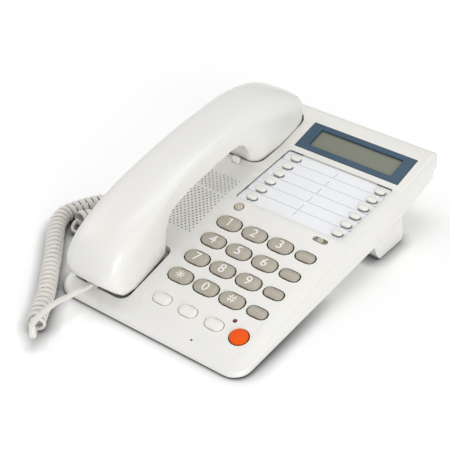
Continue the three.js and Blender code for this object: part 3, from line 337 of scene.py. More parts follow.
# %% [markdown]
# The straight lead joins the handset to the curls. The rest lies on the table and
# rides with the base.

for piece, node in ((curly_cord, "cord_coil"), (base_flex, "base_lead")):
    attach(piece, "base")
    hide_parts(node)
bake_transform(handset_flex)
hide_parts("handset_lead")
print("cord in three pieces")

# %% [markdown]
# ## Helpers for shader nodes
# A material is a network of nodes, and the same few come back again and again.
# Each helper adds one to a tree and returns the socket with its result.

# %% Helpers for shader nodes
def combine(tree, operation, first, second):
    """A Math node on two values, each a socket or a number, and its result."""
    node = tree.nodes.new("ShaderNodeMath")
    node.operation = operation
    for socket, value in zip(node.inputs, (first, second)):
        if isinstance(value, float):
            socket.default_value = value
        else:
            tree.links.new(value, socket)
    return node.outputs[0]


def remap(tree, value, low, high, to_low=0.0, to_high=1.0, smooth=False):
    """A Map Range node: what runs from low to high then runs from to_low to to_high."""
    node = tree.nodes.new("ShaderNodeMapRange")
    node.inputs["From Min"].default_value = low
    node.inputs["From Max"].default_value = high
    node.inputs["To Min"].default_value = to_low
    node.inputs["To Max"].default_value = to_high
    if smooth:
        node.interpolation_type = "SMOOTHSTEP"
    tree.links.new(value, node.inputs["Value"])
    return node.outputs["Result"]


def mix_colours(tree, factor, first, second):
    """A Mix node between two colours, each a socket or four numbers."""
    node = tree.nodes.new("ShaderNodeMix")
    node.data_type = "RGBA"
    tree.links.new(factor, node.inputs["Factor"])
    for index, colour in ((6, first), (7, second)):
        if isinstance(colour, tuple):
            node.inputs[index].default_value = colour
        else:
            tree.links.new(colour, node.inputs[index])
    return node.outputs[2]


def noise(tree, scale, detail, roughness=0.5):
    """A Noise texture in the object's own coordinates."""
    place = tree.nodes.new("ShaderNodeTexCoord")
    made = tree.nodes.new("ShaderNodeTexNoise")
    made.inputs["Detail"].default_value = detail
    made.inputs["Roughness"].default_value = roughness
    tree.links.new(place.outputs["Object"], made.inputs["Vector"])
    if isinstance(scale, float):
        made.inputs["Scale"].default_value = scale
    else:
        tree.links.new(scale, made.inputs["Scale"])
    return made.outputs["Fac"]


def openness(tree, reach, samples):
    """1 where a surface is open, towards 0 where others stand closer than reach."""
    near = tree.nodes.new("ShaderNodeAmbientOcclusion")
    near.samples = samples
    near.inputs["Distance"].default_value = reach
    return near.outputs["AO"]


def seen_by(tree, kinds):
    """1 for these kinds of ray and 0 for all others."""
    path = tree.nodes.new("ShaderNodeLightPath")
    seen = path.outputs[kinds[0]]
    for kind in kinds[1:]:
        seen = combine(tree, "MAXIMUM", seen, path.outputs[kind])
    return seen


print("helpers for nodes are ready")

# %% [markdown]
# ## Floor, backdrop and light
# A catalogue photograph is lit from large soft sources, with a white sweep
# behind. The floor here is a pale sheet that still receives the shadow of the
# telephone. Only rays that come from the camera, or that are mirrored or bent by
# the object, see the extra white in it, so the object is not lit by it. Close to
# where something touches the floor, the paper is darker and its white is held
# back, which gives the tight shadow of such a photograph.

# %% Floor and backdrop
CONTACT_REACH = 0.011
CONTACT_POWER = 1.8
PAPER_DARK = (0.10, 0.10, 0.10, 1)
PAPER_PALE = (0.88, 0.88, 0.88, 1)
PAPER_GLOW = 0.2
STUDIO_LIGHT = 0.52
FLOOR_SIZE = 14.0
FLOOR_GAP = 0.0001


def white_stage(name):
    """A pale paper that looks white to the camera and keeps its shadows."""
    paper = bpy.data.materials.new(name)
    paper.use_nodes = True
    tree = paper.node_tree
    shader = tree.nodes["Principled BSDF"]
    near = openness(tree, CONTACT_REACH, samples=12)
    clear = combine(tree, "POWER", near, CONTACT_POWER)
    tone = mix_colours(tree, clear, PAPER_DARK, PAPER_PALE)
    tree.links.new(tone, shader.inputs["Base Color"])
    shader.inputs["Roughness"].default_value = 0.9
    shader.inputs["Specular IOR Level"].default_value = 0.0
    seen = seen_by(tree, ("Is Camera Ray", "Is Glossy Ray", "Is Transmission Ray"))
    glow = combine(tree, "MULTIPLY", seen, PAPER_GLOW)
    shaded = combine(tree, "MULTIPLY", glow, clear)
    shader.inputs["Emission Color"].default_value = (1, 1, 1, 1)
    tree.links.new(shaded, shader.inputs["Emission Strength"])
    return paper


sheet = bmesh.new()
bmesh.ops.create_grid(sheet, x_segments=1, y_segments=1, size=0.5)
bmesh.ops.scale(sheet, vec=(FLOOR_SIZE, FLOOR_SIZE, 1), verts=sheet.verts)
floor_mesh = bpy.data.meshes.new("floor")
sheet.to_mesh(floor_mesh)
sheet.free()
floor = bpy.data.objects.new("floor", floor_mesh)
bpy.context.scene.collection.objects.link(floor)
floor.location = (0, 0, cad_low.z - FLOOR_GAP)
floor.data.materials.append(white_stage("white_paper"))

world = bpy.data.worlds.new("studio")
bpy.context.scene.world = world
world.use_nodes = True
sky = world.node_tree.nodes["Background"]
sky.inputs["Color"].default_value = (1, 1, 1, 1)
white = seen_by(world.node_tree, ("Is Camera Ray", "Is Transmission Ray"))
level = remap(world.node_tree, white, 0.0, 1.0, STUDIO_LIGHT, 1.0)
world.node_tree.links.new(level, sky.inputs["Strength"])
print("floor at", round(floor.location.z, 5))

# %% Lamps
def soft_box(name, place, aim, size, power):
    """A square lamp at a place, turned to the point it lights."""
    lamp = bpy.data.lights.new(name, "AREA")
    lamp.shape = "SQUARE"
    lamp.size = size
    lamp.energy = power
    made = bpy.data.objects.new(name, lamp)
    bpy.context.scene.collection.objects.link(made)
    made.location = place
    made.rotation_euler = (Vector(aim) - Vector(place)).to_track_quat("-Z", "Y").to_euler()
    return made


soft_box("overhead", (-0.25, 0.35, 1.5), (0, 0, 0.02), 0.9, 6.0)
soft_box("from_the_left", (-1.3, -0.2, 0.9), (0, 0, 0.03), 0.9, 4.5)
soft_box("from_the_right", (1.4, -0.95, 0.45), (0, 0, 0.03), 1.0, 16.0)
print("three soft boxes and an even white studio")

# %% [markdown]
# ## Moulded plastic
# Most of the telephone is one injection-moulded plastic. Close up it has a very
# fine grain left by the mould, broad faint changes of tone and slightly paler
# edges where hands have rubbed it. A fourth effect paints shade into its colour:
# dark in gaps where no light gets in. These four effects are node groups, so
# each plastic can use them with its own values.

# %% Shared effects
COLOUR = "NodeSocketColor"
NUMBER = "NodeSocketFloat"


def effect(name, inputs, outputs):
    """A shader node group with number or colour sockets, from two dictionaries."""
    group = bpy.data.node_groups.new(name, "ShaderNodeTree")
    for label, (kind, value) in inputs.items():
        socket = group.interface.new_socket(label, in_out="INPUT", socket_type=kind)
        socket.default_value = value
    for label, kind in outputs.items():
        group.interface.new_socket(label, in_out="OUTPUT", socket_type=kind)
    given = group.nodes.new("NodeGroupInput")
    return group, given.outputs, group.nodes.new("NodeGroupOutput").inputs


def mould_grain():
    """The fine grain of a mould: a height, and a slight change of roughness."""
    group, given, out = effect(
        "mould_grain",
        {"Scale": (NUMBER, 1500.0), "Depth": (NUMBER, 0.5)},
        {"Height": NUMBER, "Roughness": NUMBER},
    )
    grain = noise(group, given["Scale"], detail=2.0, roughness=0.6)
    sink = noise(group, 22.0, detail=1.0)
    fine = combine(group, "MULTIPLY", grain, given["Depth"])
    broad = combine(group, "MULTIPLY", sink, 0.25)
    group.links.new(combine(group, "ADD", fine, broad), out["Height"])
    gloss = remap(group, sink, 0.3, 0.7, -0.01, 0.02, smooth=True)
    group.links.new(gloss, out["Roughness"])
    return group


def aged_tone():
    """A plastic's colour with broad faint patches, a little warmer where it has aged."""
    group, given, out = effect(
        "aged_tone",
        {
            "Colour": (COLOUR, (0.8, 0.8, 0.8, 1)), "Aged": (COLOUR, (0.7, 0.65, 0.5, 1)),
            "Amount": (NUMBER, 0.2), "Scale": (NUMBER, 14.0),
        },
        {"Colour": COLOUR},
    )
    spread = noise(group, given["Scale"], detail=4.0)
    patch = remap(group, spread, 0.35, 0.75, smooth=True)
    amount = combine(group, "MULTIPLY", patch, given["Amount"])
    mixed = mix_colours(group, amount, given["Colour"], given["Aged"])
    group.links.new(mixed, out["Colour"])
    return group


def rubbed_edges():
    """Paler outer edges, broken up by noise as handling wears them."""
    group, given, out = effect(
        "rubbed_edges",
        {
            "Colour": (COLOUR, (0.8, 0.8, 0.8, 1)), "Worn": (COLOUR, (0.9, 0.9, 0.88, 1)),
            "Amount": (NUMBER, 0.4),
        },
        {"Colour": COLOUR},
    )
    geometry = group.nodes.new("ShaderNodeNewGeometry")
    edge = remap(group, geometry.outputs["Pointiness"], 0.52, 0.62)
    broken = combine(group, "MULTIPLY", edge, noise(group, 260.0, detail=5.0))
    amount = combine(group, "MULTIPLY", broken, given["Amount"])
    mixed = mix_colours(group, amount, given["Colour"], given["Worn"])
    group.links.new(mixed, out["Colour"])
    return group


def crevice_shade():
    """Paints shade into a colour: darker deep in gaps narrower than a few millimetres."""
    group, given, out = effect(
        "crevice_shade",
        {
            "Colour": (COLOUR, (0.8, 0.8, 0.8, 1)),
            "Deep": (COLOUR, (0.03, 0.02, 0.015, 1)),
        },
        {"Colour": COLOUR},
    )
    near = openness(group, reach=0.006, samples=8)
    clear = remap(group, near, 0.08, 0.42, smooth=True)
    mixed = mix_colours(group, clear, given["Deep"], given["Colour"])
    group.links.new(mixed, out["Colour"])
    return group


MOULD_GRAIN = mould_grain()
AGED_TONE = aged_tone()
RUBBED_EDGES = rubbed_edges()
CREVICE_SHADE = crevice_shade()
print("effects:", [g.name for g in bpy.data.node_groups])

# %% Plastics
PLASTIC_BUMP = 0.00006
CLEAR_BUMP = 0.00003


def screen(red, green, blue):
    """A colour as a paint program shows it, 0 to 255, made linear for the shader."""
    def linear(value):
        value /= 255
        return value / 12.92 if value <= 0.04045 else ((value + 0.055) / 1.055) ** 2.4
    return (linear(red), linear(green), linear(blue), 1)


def use_effect(tree, group, **values):
    """A node that uses a shared effect, with some of its inputs set."""
    node = tree.nodes.new("ShaderNodeGroup")
    node.node_tree = group
    for label, value in values.items():
        node.inputs[label].default_value = value
    return node


def roughen(tree, shader, mould, strength, height):
    """Turns the mould's grain into a slight bump; height is in metres."""
    bumps = tree.nodes.new("ShaderNodeBump")
    bumps.inputs["Strength"].default_value = strength
    bumps.inputs["Distance"].default_value = height
    tree.links.new(mould.outputs["Height"], bumps.inputs["Height"])
    tree.links.new(bumps.outputs["Normal"], shader.inputs["Normal"])


def plastic(name, colour, aged, worn, roughness, grain=1500.0, bump=0.25, wear=0.4,
            shine=0.5, crevices=True):
    """A moulded plastic built from the shared effects, in colours from 0 to 255."""
    made = bpy.data.materials.new(name)
    made.use_nodes = True
    tree = made.node_tree
    shader = tree.nodes["Principled BSDF"]
    shader.inputs["Specular IOR Level"].default_value = shine
    shader.inputs["IOR"].default_value = 1.5
    tone = use_effect(tree, AGED_TONE, Colour=screen(*colour), Aged=screen(*aged))
    last = use_effect(tree, RUBBED_EDGES, Worn=screen(*worn), Amount=wear)
    tree.links.new(tone.outputs["Colour"], last.inputs["Colour"])
    # Painted shade: the colour is darkened in narrow gaps.
    if crevices:
        deep = use_effect(tree, CREVICE_SHADE)
        tree.links.new(last.outputs["Colour"], deep.inputs["Colour"])
        last = deep
    tree.links.new(last.outputs["Colour"], shader.inputs["Base Color"])
    mould = use_effect(tree, MOULD_GRAIN, Scale=grain)
    gloss = combine(tree, "ADD", mould.outputs["Roughness"], roughness)
    tree.links.new(gloss, shader.inputs["Roughness"])
    roughen(tree, shader, mould, bump, PLASTIC_BUMP)
    return made


IVORY = plastic(
    "ivory_shell", (235, 234, 230), (233, 230, 219), (244, 243, 240), 0.28, wear=0.08,
)
IVORY_UNDER = plastic(
    "ivory_lower", (226, 224, 217), (222, 216, 200), (238, 236, 230), 0.45,
)
TAUPE = plastic("taupe_keys", (178, 171, 157), (168, 160, 143), (216, 210, 198), 0.34)
WHITE_CAP = plastic(
    "white_keys", (238, 236, 229), (232, 227, 212), (246, 245, 240), 0.38,
)
ORANGE = plastic(
    "orange_key", (242, 88, 2), (228, 76, 1), (246, 124, 40), 0.4, shine=0.15,
)
BEZEL_BLUE = plastic("blue_bezel", (40, 74, 98), (34, 66, 88), (66, 98, 120), 0.32)
DARK = plastic("dark_inside", (46, 45, 43), (38, 36, 33), (70, 68, 64), 0.6)
RUBBER = plastic("grey_rubber", (120, 119, 116), (104, 102, 98), (150, 149, 146), 0.85)
CORD_SKIN = plastic(
    "ivory_cord", (228, 224, 218), (218, 211, 203), (238, 235, 230), 0.4, grain=900.0,
)
BOARD = plastic("circuit_board", (46, 104, 66), (38, 88, 54), (150, 130, 70), 0.5)
VOLUME_TAN = plastic(
    "volume_tan", (196, 186, 166), (186, 175, 152), (220, 212, 196), 0.4,
)
print(len(bpy.data.materials), "materials so far")

# %% [markdown]
# ## Paper, ink, shade and clear plastic
# What lies under clear plastic, the inks and what is dark already do without the
# crevice shade: to that effect, the card under its cover is deep in a gap.

# %% Paper, ink and shade
CARD_PAPER = plastic(
    "card_paper", (250, 251, 254), (246, 247, 250), (252, 253, 254), 0.7,
    grain=2600.0, bump=0.5, crevices=False,
)
CARD_INK = plastic(
    "card_ink", (140, 146, 152), (128, 134, 140), (160, 164, 168), 0.7, crevices=False,
)
FIGURE_INK = plastic(
    "figure_ink", (246, 245, 240), (240, 238, 230), (250, 249, 246), 0.5, crevices=False,
)
TRACK_TAUPE = plastic(
    "track_taupe", (150, 143, 131), (140, 132, 118), (164, 157, 146), 0.6,
    crevices=False,
)
GAP_SHADE = plastic(
    "gap_shade", (38, 32, 26), (30, 25, 20), (60, 54, 46), 0.8, shine=0.1,
    crevices=False,
)
SEAM_GREY = plastic(
    "seam_grey", (196, 194, 188), (186, 184, 176), (208, 206, 200), 0.7, crevices=False,
)
PALE_SHADE = plastic(
    "pale_shade", (122, 116, 106), (110, 104, 94), (140, 134, 124), 0.8, crevices=False,
)
DISPLAY_FACE = plastic(
    "display_face", (122, 125, 110), (114, 117, 101), (136, 138, 125), 0.3,
    crevices=False,
)


def clear_plastic(name, tint, roughness, alpha):
    """Thin clear plastic: mostly see-through, with its gloss kept."""
    made = bpy.data.materials.new(name)
    made.use_nodes = True
    tree = made.node_tree
    shader = tree.nodes["Principled BSDF"]
    shader.inputs["Base Color"].default_value = screen(*tint)
    shader.inputs["Roughness"].default_value = roughness
    shader.inputs["Alpha"].default_value = alpha
    shader.inputs["IOR"].default_value = 1.46
    mould = use_effect(tree, MOULD_GRAIN, Scale=400.0)
    roughen(tree, shader, mould, 0.1, CLEAR_BUMP)
    return made


CLEAR = clear_plastic("clear_plastic", (250, 251, 252), 0.12, 0.12)
PLUG_CLEAR = clear_plastic("plug_clear", (236, 238, 238), 0.15, 0.55)
LAMP_LENS = clear_plastic("lamp_lens", (120, 40, 34), 0.2, 0.92)
print(len(bpy.data.materials), "materials")

# %% [markdown]
# ## The sloping face
# The top of the telephone is made of three flat slopes, one behind the other.
# What lies on it is drawn flat first, around the origin, and is then carried to
# its place by a matrix that knows the height and the slope there.

# %% Where the face is
FRONT_HEIGHT = 4.0
SLOPES = ((0.0, 13.6), (118.0, 5.6), (186.6, 14.0))


def face_height(y):
    """How high the face is above the table, y mm behind the front edge."""
    height = FRONT_HEIGHT
    for i, (start, slope) in enumerate(SLOPES):
        end = SLOPES[i + 1][0] if i + 1 < len(SLOPES) else math.inf
        if y > start:
            height += (min(y, end) - start) * math.tan(math.radians(slope))
    return height


def on_face(x, y, lift=0.0):
    """A matrix, in mm, that sets a flat shape on the sloping face at x and y."""
    slope = [s for start, s in SLOPES if y >= start][-1]
    tilt = Matrix.Rotation(math.radians(slope), 4, "X")
    place = Matrix.Translation((x, y - HALF_DEPTH, face_height(y)))
    return place @ tilt @ Matrix.Translation((0, 0, lift))


print("face heights", [round(face_height(y), 2) for y in (0, 60, 118, 186.6, 232)])

# %% [markdown]
# ## Fit the keys to the photograph
# Seen from the camera, the caps are a little shorter than those of the packed
# part and sit a little higher up the slope. So each cap has an outline of its
# own, and the copy of the housing gets its holes drawn to the same outline, with
# an even gap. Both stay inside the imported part's box.

# %% Key outlines
class Key:
    """One kind of key, in mm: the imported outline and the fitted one."""

    def __init__(self, packed, fitted, corner, shift, gap, proud):
        self.packed, self.fitted, self.corner = packed, fitted, corner
        self.shift, self.gap, self.proud = shift, gap, proud


PACKED_GAP = 0.45
DIAL = Key((17.6, 13.2, 5.8), (17.9, 10.6), 5.1, (-1.15, 1.2), 0.95, 1.9)
FUNCTION = Key((14.2, 10.2, 4.4), (13.9, 7.6), 3.6, (-1.2, 1.15), 0.95, 1.7)
LOWER = Key((13.2, 10.4, 4.4), (13.2, 8.6), 3.9, (-0.6, 0.9), 0.5, 1.6)
HANDSFREE = Key((13.4, 13.4, 6.7), (12.3, 12.3), 6.15, (0.35, 0.6), 0.8, 2.2)
VOLUME = Key((5.4, 5.4, 2.7), (6.2, 6.2), 3.1, (-0.4, 0.85), 0.65, 1.3)

COLUMN_X = 15.3
COLUMN_PITCH = 21.1
ROW_Y = 97.4
ROW_PITCH = 17.4
FUNCTION_X = 56.4
LOWER_ROW_SHIFT = 1.2
LOWER_ROW_Y = 24.6
VOLUME_X, VOLUME_Y = -10.4, 113.4
DIAL_LABELS = ("123", "456", "789", "*0#")
KEY_WORDS = {"*": "star", "#": "hash"}
key_places = []
for row, labels in enumerate(DIAL_LABELS):
    y = ROW_Y - row * ROW_PITCH
    for column, label in enumerate(labels):
        word = KEY_WORDS.get(label, label)
        key_places.append(
            ("key_" + word, DIAL, COLUMN_X + (column - 1) * COLUMN_PITCH, y, label)
        )
    key_places.append((f"function_key_{row + 1}", FUNCTION, FUNCTION_X, y, None))
for column in range(3):
    x = COLUMN_X + LOWER_ROW_SHIFT + (column - 1) * COLUMN_PITCH
    key_places.append((f"lower_key_{column + 1}", LOWER, x, LOWER_ROW_Y, None))
key_places.append(("handsfree_key", HANDSFREE, FUNCTION_X, LOWER_ROW_Y, None))
key_places.append(("volume_key", VOLUME, VOLUME_X, VOLUME_Y, None))
print(len(key_places), "keys to fit")

# %% Redraw the key holes
# In mm: how near to a key a point is worth testing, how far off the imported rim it
# may lie, and how deep the wall of a hole goes.
NEAR_X, NEAR_Y = 12, 10
RIM_TOLERANCE = 0.3
WALL_DEPTH = 2.8


def outline_distance(u, v, length, height, corner):
    """How far a point lies outside a rounded rectangle, in mm."""
    across = abs(u) - (length / 2 - corner)
    along = abs(v) - (height / 2 - corner)
    outside = math.hypot(max(across, 0), max(along, 0))
    return outside + min(max(across, along), 0) - corner


def fit_key_holes(shape):
    """Move the rim and the wall of every key hole to the fitted outline."""
    moved = 0
    to_face = [on_face(x, y).inverted() for _, _, x, y, _ in key_places]
    for vert in shape.verts:
        at = vert.co / MM
        for flat, (_, key, x, y, _) in zip(to_face, key_places):
            if abs(at.x - x) > NEAR_X or abs(at.y + HALF_DEPTH - y) > NEAR_Y:
                continue
            u, v, lift = flat @ at
            length, height, corner = key.packed
            off = outline_distance(
                u, v, length + 2 * PACKED_GAP, height + 2 * PACKED_GAP,
                corner + PACKED_GAP,
            )
            if abs(off) > RIM_TOLERANCE or not -WALL_DEPTH < lift < RIM_TOLERANCE:
                continue
            wide = (key.fitted[0] + 2 * key.gap) / (length + 2 * PACKED_GAP)
            tall = (key.fitted[1] + 2 * key.gap) / (height + 2 * PACKED_GAP)
            fitted = Vector((key.shift[0] + u * wide, key.shift[1] + v * tall, lift))
            vert.co = (on_face(x, y) @ fitted) * MM
            moved += 1
            break
    print(moved, "points of the key holes moved")


print("ready to redraw the holes of", len(key_places), "keys")

# %% [markdown]
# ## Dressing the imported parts
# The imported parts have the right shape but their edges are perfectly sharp,
# which nothing moulded is. A copy of each visible part is merged, its flat faces
# are joined again, and a narrow Bevel modifier rounds its edges so that they
# catch the light. The copy rides on the same body and stands for the part.

# %% Dress a part
MERGE_DISTANCE = 2e-6
FLAT_ANGLE = math.radians(0.6)
EDGE_ANGLE = math.radians(38)


def dressed(node, material, round_edge=0.2, segments=2, sharp=34, reshape=None):
    """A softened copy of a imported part, which replaces it.

    round_edge is in mm. reshape is a function that moves points of the copy.
    """
    shape = bmesh.new()
    shape.from_mesh(frame["nodes"][node].data)
    bmesh.ops.remove_doubles(shape, verts=shape.verts, dist=MERGE_DISTANCE)
    if reshape:
        reshape(shape)
    bmesh.ops.dissolve_limit(
        shape, angle_limit=FLAT_ANGLE, verts=shape.verts, edges=shape.edges,
    )
    mesh = bpy.data.meshes.new(node + "_dressed")
    shape.to_mesh(mesh)
    shape.free()
    mesh.materials.clear()
    mesh.materials.append(material)
    mesh.shade_smooth()
    mesh.set_sharp_from_angle(angle=math.radians(sharp))
    made = bpy.data.objects.new(node + "_dressed", mesh)
    bpy.context.scene.collection.objects.link(made)
    if round_edge:
        bevel = made.modifiers.new("rounded edges", "BEVEL")
        bevel.width = round_edge * MM
        bevel.segments = segments
        bevel.limit_method = "ANGLE"
        bevel.angle_limit = EDGE_ANGLE
        bevel.harden_normals = False
    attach(made, NODE_BODY[node])
    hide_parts(node)
    return made


PLAIN_PARTS = {
    "lower_housing": (IVORY_UNDER, "lower_shell", 0.25),
    "desk_stand": (IVORY, "ivory_shell", 0.3),
    "handset_body": (IVORY, "ivory_shell", 0.3),
    "handset_inner": (IVORY, "ivory_shell", 0.3),
    "display_window": (BEZEL_BLUE, "blue_bezel", 0.2),
    "lcd_panel": (DISPLAY_FACE, "display_glass", 0.15),
    "index_card": (CARD_PAPER, "card_stock", 0.0),
    "card_cover": (CLEAR, "clear_plastic", 0.15),
    "ringer_switch": (VOLUME_TAN, "tan_keys", 0.15),
    "led_lens": (LAMP_LENS, "lamp_lens", 0.1),
    "hook_switch": (WHITE_CAP, "white_keys", 0.2),
    "wall_hook": (IVORY, "ivory_shell", 0.3),
    "foot_left": (RUBBER, "grey_rubber", 0.3),
    "foot_right": (RUBBER, "grey_rubber", 0.3),
    "handset_plug": (PLUG_CLEAR, "clear_plastic", 0.2),
    "base_plug": (PLUG_CLEAR, "clear_plastic", 0.2),
}
for node, (material, slot, edge) in PLAIN_PARTS.items():
    dressed(node, material, edge)
dressed("upper_housing", IVORY, 0.28, reshape=fit_key_holes)
print(len(PLAIN_PARTS) + 1, "parts dressed")

# %% Colour what is inside, and the cord
INSIDE_PARTS = {
    "key_mat": DARK, "dial_board": BOARD, "memory_board": BOARD, "speaker": DARK,
    "receiver": DARK, "handset_mic": DARK,
}
for node, material in INSIDE_PARTS.items():
    frame["nodes"][node].data.materials.clear()
    frame["nodes"][node].data.materials.append(material)
for piece in (handset_flex, curly_cord, base_flex):
    piece.data.materials.append(CORD_SKIN)
print(len(INSIDE_PARTS), "parts inside and three pieces of cord")

# %% [markdown]
# ## Key caps
# A key cap is a small block with rounded corners, a soft shoulder and a crown
# that is slightly domed, so that a finger finds its middle. It starts as a flat
# outline, a rounded rectangle or a circle. The outline is extruded to make the
# walls, the rim of the top is bevelled for the shoulder, and the crown is inset
# and raised a few times for the dome.

# %% Shape of a cap
# How a crown is built up: the inset of each step, as a share of the corner or the
# radius, and the share of the dome's height that each step adds.
OBLONG_INSET, OBLONG_RISES = 0.3, (0.55, 0.3, 0.15)
ROUND_INSET, ROUND_RISES = 0.18, (0.5, 0.3, 0.2)


def round_off(shape, geom, offset, segments, affect="VERTICES"):
    """Bevels corners, or edges, by offset in mm."""
    bmesh.ops.bevel(
        shape, geom=geom, offset=offset, offset_type="OFFSET", segments=segments,
        profile=0.5, affect=affect, material=-1,
    )


def add_plate(shape, length, height, corner, steps=8):
    """Adds a flat plate with rounded corners around the origin, and returns its faces."""
    before = set(shape.verts)
    bmesh.ops.create_grid(shape, x_segments=1, y_segments=1, size=0.5)
    fresh = [v for v in shape.verts if v not in before]
    bmesh.ops.scale(shape, vec=(length, height, 1), verts=fresh)
    round_off(shape, fresh, corner, steps)
    return [f for f in shape.faces if not any(v in before for v in f.verts)]


def raise_cap(cap, proud, sunk, shoulder, dome, step, rises):
    """Pulls a flat outline up: the crown proud above the origin, the foot sunk below."""
    bmesh.ops.translate(cap, vec=(0, 0, -sunk), verts=cap.verts)
    raised = bmesh.ops.extrude_face_region(cap, geom=cap.faces[:])["geom"]
    top_verts = [g for g in raised if isinstance(g, bmesh.types.BMVert)]
    bmesh.ops.translate(cap, vec=(0, 0, proud + sunk - dome), verts=top_verts)
    rim = [e for e in cap.edges if all(v in top_verts for v in e.verts)]
    round_off(cap, rim, shoulder, 4, "EDGES")
    crown = max(cap.faces, key=lambda face: face.calc_center_median().z)
    for rise in rises:
        bmesh.ops.inset_region(cap, faces=[crown], thickness=step, depth=0.0)
        bmesh.ops.translate(cap, vec=(0, 0, dome * rise), verts=crown.verts)
    bmesh.ops.recalc_face_normals(cap, faces=cap.faces)
    return cap


def oblong_cap(length, height, corner, proud, sunk, shoulder, dome, steps=8):
    """A cap with rounded corners, in mm."""
    cap = bmesh.new()
    add_plate(cap, length, height, corner, steps)
    step = (corner - shoulder) * OBLONG_INSET
    return raise_cap(cap, proud, sunk, shoulder, dome, step, OBLONG_RISES)


def round_cap(radius, proud, sunk, shoulder, dome):
    """A round cap, in mm."""
    cap = bmesh.new()
    bmesh.ops.create_circle(cap, cap_ends=True, segments=36, radius=radius)
    return raise_cap(cap, proud, sunk, shoulder, dome, radius * ROUND_INSET, ROUND_RISES)


def place_key(node, cap, x, y, material, slot):
    """Sets a cap on the face in place of a packed key."""
    bmesh.ops.transform(cap, matrix=on_face(x, y), verts=cap.verts)
    made = finish_mesh(node + "_cap_dressed", cap, 44)
    made.data.materials.append(material)
    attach(made, NODE_BODY[node])
    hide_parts(node)
    return made


print("oblong and round caps can be made")

# %% Place the caps
CAP_SUNK = 1.7
CAP_LOOKS = {
    DIAL: (TAUPE, "tan_keys"), FUNCTION: (TAUPE, "tan_keys"),
    LOWER: (WHITE_CAP, "white_keys"), HANDSFREE: (ORANGE, "orange_key"),
    VOLUME: (VOLUME_TAN, "tan_keys"),
}
# The shoulder and the dome of a cap, in mm.
OBLONG_EDGE = (1.1, 0.45)
ROUND_EDGES = {HANDSFREE: (1.2, 0.5), VOLUME: (0.8, 0.25)}

for node, key, x, y, _ in key_places:
    if key in ROUND_EDGES:
        cap = round_cap(key.fitted[0] / 2, key.proud, CAP_SUNK, *ROUND_EDGES[key])
    else:
        cap = oblong_cap(*key.fitted, key.corner, key.proud, CAP_SUNK, *OBLONG_EDGE)
    bmesh.ops.translate(cap, vec=(*key.shift, 0), verts=cap.verts)
    place_key(node, cap, x, y, *CAP_LOOKS[key])
print(len(key_places), "caps placed")

# %% Memory keys
MEMORY_COLUMNS = (-9.5, 60.6)
MEMORY_REAR_Y = 179.6
MEMORY_PITCH = 10.45
MEMORY_OUTLINE = (7.4, 5.0, 1.8)
MEMORY_PROUD, MEMORY_SUNK = 1.3, 4.4
MEMORY_EDGE = (0.7, 0.2)

for row in range(6):
    for side, x in enumerate(MEMORY_COLUMNS):
        cap = oblong_cap(
            *MEMORY_OUTLINE, MEMORY_PROUD, MEMORY_SUNK, *MEMORY_EDGE, steps=5,
        )
        place_key(
            f"memory_key_{side * 6 + row + 1}", cap, x,
            MEMORY_REAR_Y - row * MEMORY_PITCH, WHITE_CAP, "white_keys",
        )
print("twelve memory keys beside the card")

# %% [markdown]
# ## Shade in the gaps
# The gap round a key is so narrow that hardly any light gets into it. A flat dark
# ring lies in each gap, a little under the face: nearly black round the coloured
# keys, and a warm grey round the white ones, where the photograph is paler.

# %% Shade in the gaps
# In mm: how deep a ring lies and how thick it is, and the play that it has to the
# wall of its hole, in the corners and over the edge of the cap.
RING_LIFT = -0.12
RING_THICK = 0.1
RING_PLAY = 0.04
CORNER_PLAY = 0.03
CAP_PLAY = 0.1


def gap_shade(name, kinds, material):
    """Flat dark rings in the gaps round the keys of these kinds."""
    rings = bmesh.new()
    for _, key, x, y, _ in key_places:
        if key not in kinds:
            continue
        length, height = (size + 2 * key.gap - RING_PLAY for size in key.fitted)
        corner = min(key.corner + key.gap, height / 2) - CORNER_PLAY
        before = set(rings.verts)
        plate = add_plate(rings, length, height, corner)
        bmesh.ops.inset_region(
            rings, faces=plate, thickness=key.gap - CAP_PLAY, depth=0.0,
            use_boundary=True,
        )
        bmesh.ops.delete(rings, geom=plate, context="FACES")
        fresh = [v for v in rings.verts if v not in before]
        place = on_face(x, y, RING_LIFT) @ Matrix.Translation((*key.shift, 0))
        bmesh.ops.transform(rings, matrix=place, verts=fresh)
    bmesh.ops.solidify(rings, geom=rings.faces[:], thickness=RING_THICK)
    bmesh.ops.recalc_face_normals(rings, faces=rings.faces)
    made = finish_mesh(name, rings, 30)
    made.data.materials.append(material)
    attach(made, "base")


gap_shade("key_gap_shade", (DIAL, FUNCTION, HANDSFREE, VOLUME), GAP_SHADE)
gap_shade("white_key_gap_shade", (LOWER,), PALE_SHADE)
print("shade in the gaps of", len(key_places), "keys")

# %% [markdown]
# ## Figures on the keys
# The figures are printed in a pale ink. Most are text objects, made into meshes;
# the 1, the star and the hash sign are built from straight strokes. Each has a
# body of ink a few hundredths of a millimetre thick and is set on the crown of
# its key. It rides with the key, so it goes down when the key does.

# %% Figures
STAR_ARM = 3.3
STROKED = {
    "1": ((0.55, -3.6, 0.55, 3.6, 0.9), (0.75, 3.4, -1.25, 2.1, 0.75)),
    "#": (
        (-1.55, -3.2, -0.95, 3.2, 0.72), (0.95, -3.2, 1.55, 3.2, 0.72),
        (-2.9, 1.15, 3.0, 1.15, 0.72), (-3.0, -1.15, 2.9, -1.15, 0.72),
    ),
    "*": tuple(
        (-STAR_ARM * math.cos(a), -STAR_ARM * math.sin(a),
         STAR_ARM * math.cos(a), STAR_ARM * math.sin(a), 0.55)
        for a in (math.radians(45 * step) for step in range(4))
    ),
}
FIGURE_SIZE = 10.0
INK = 0.06


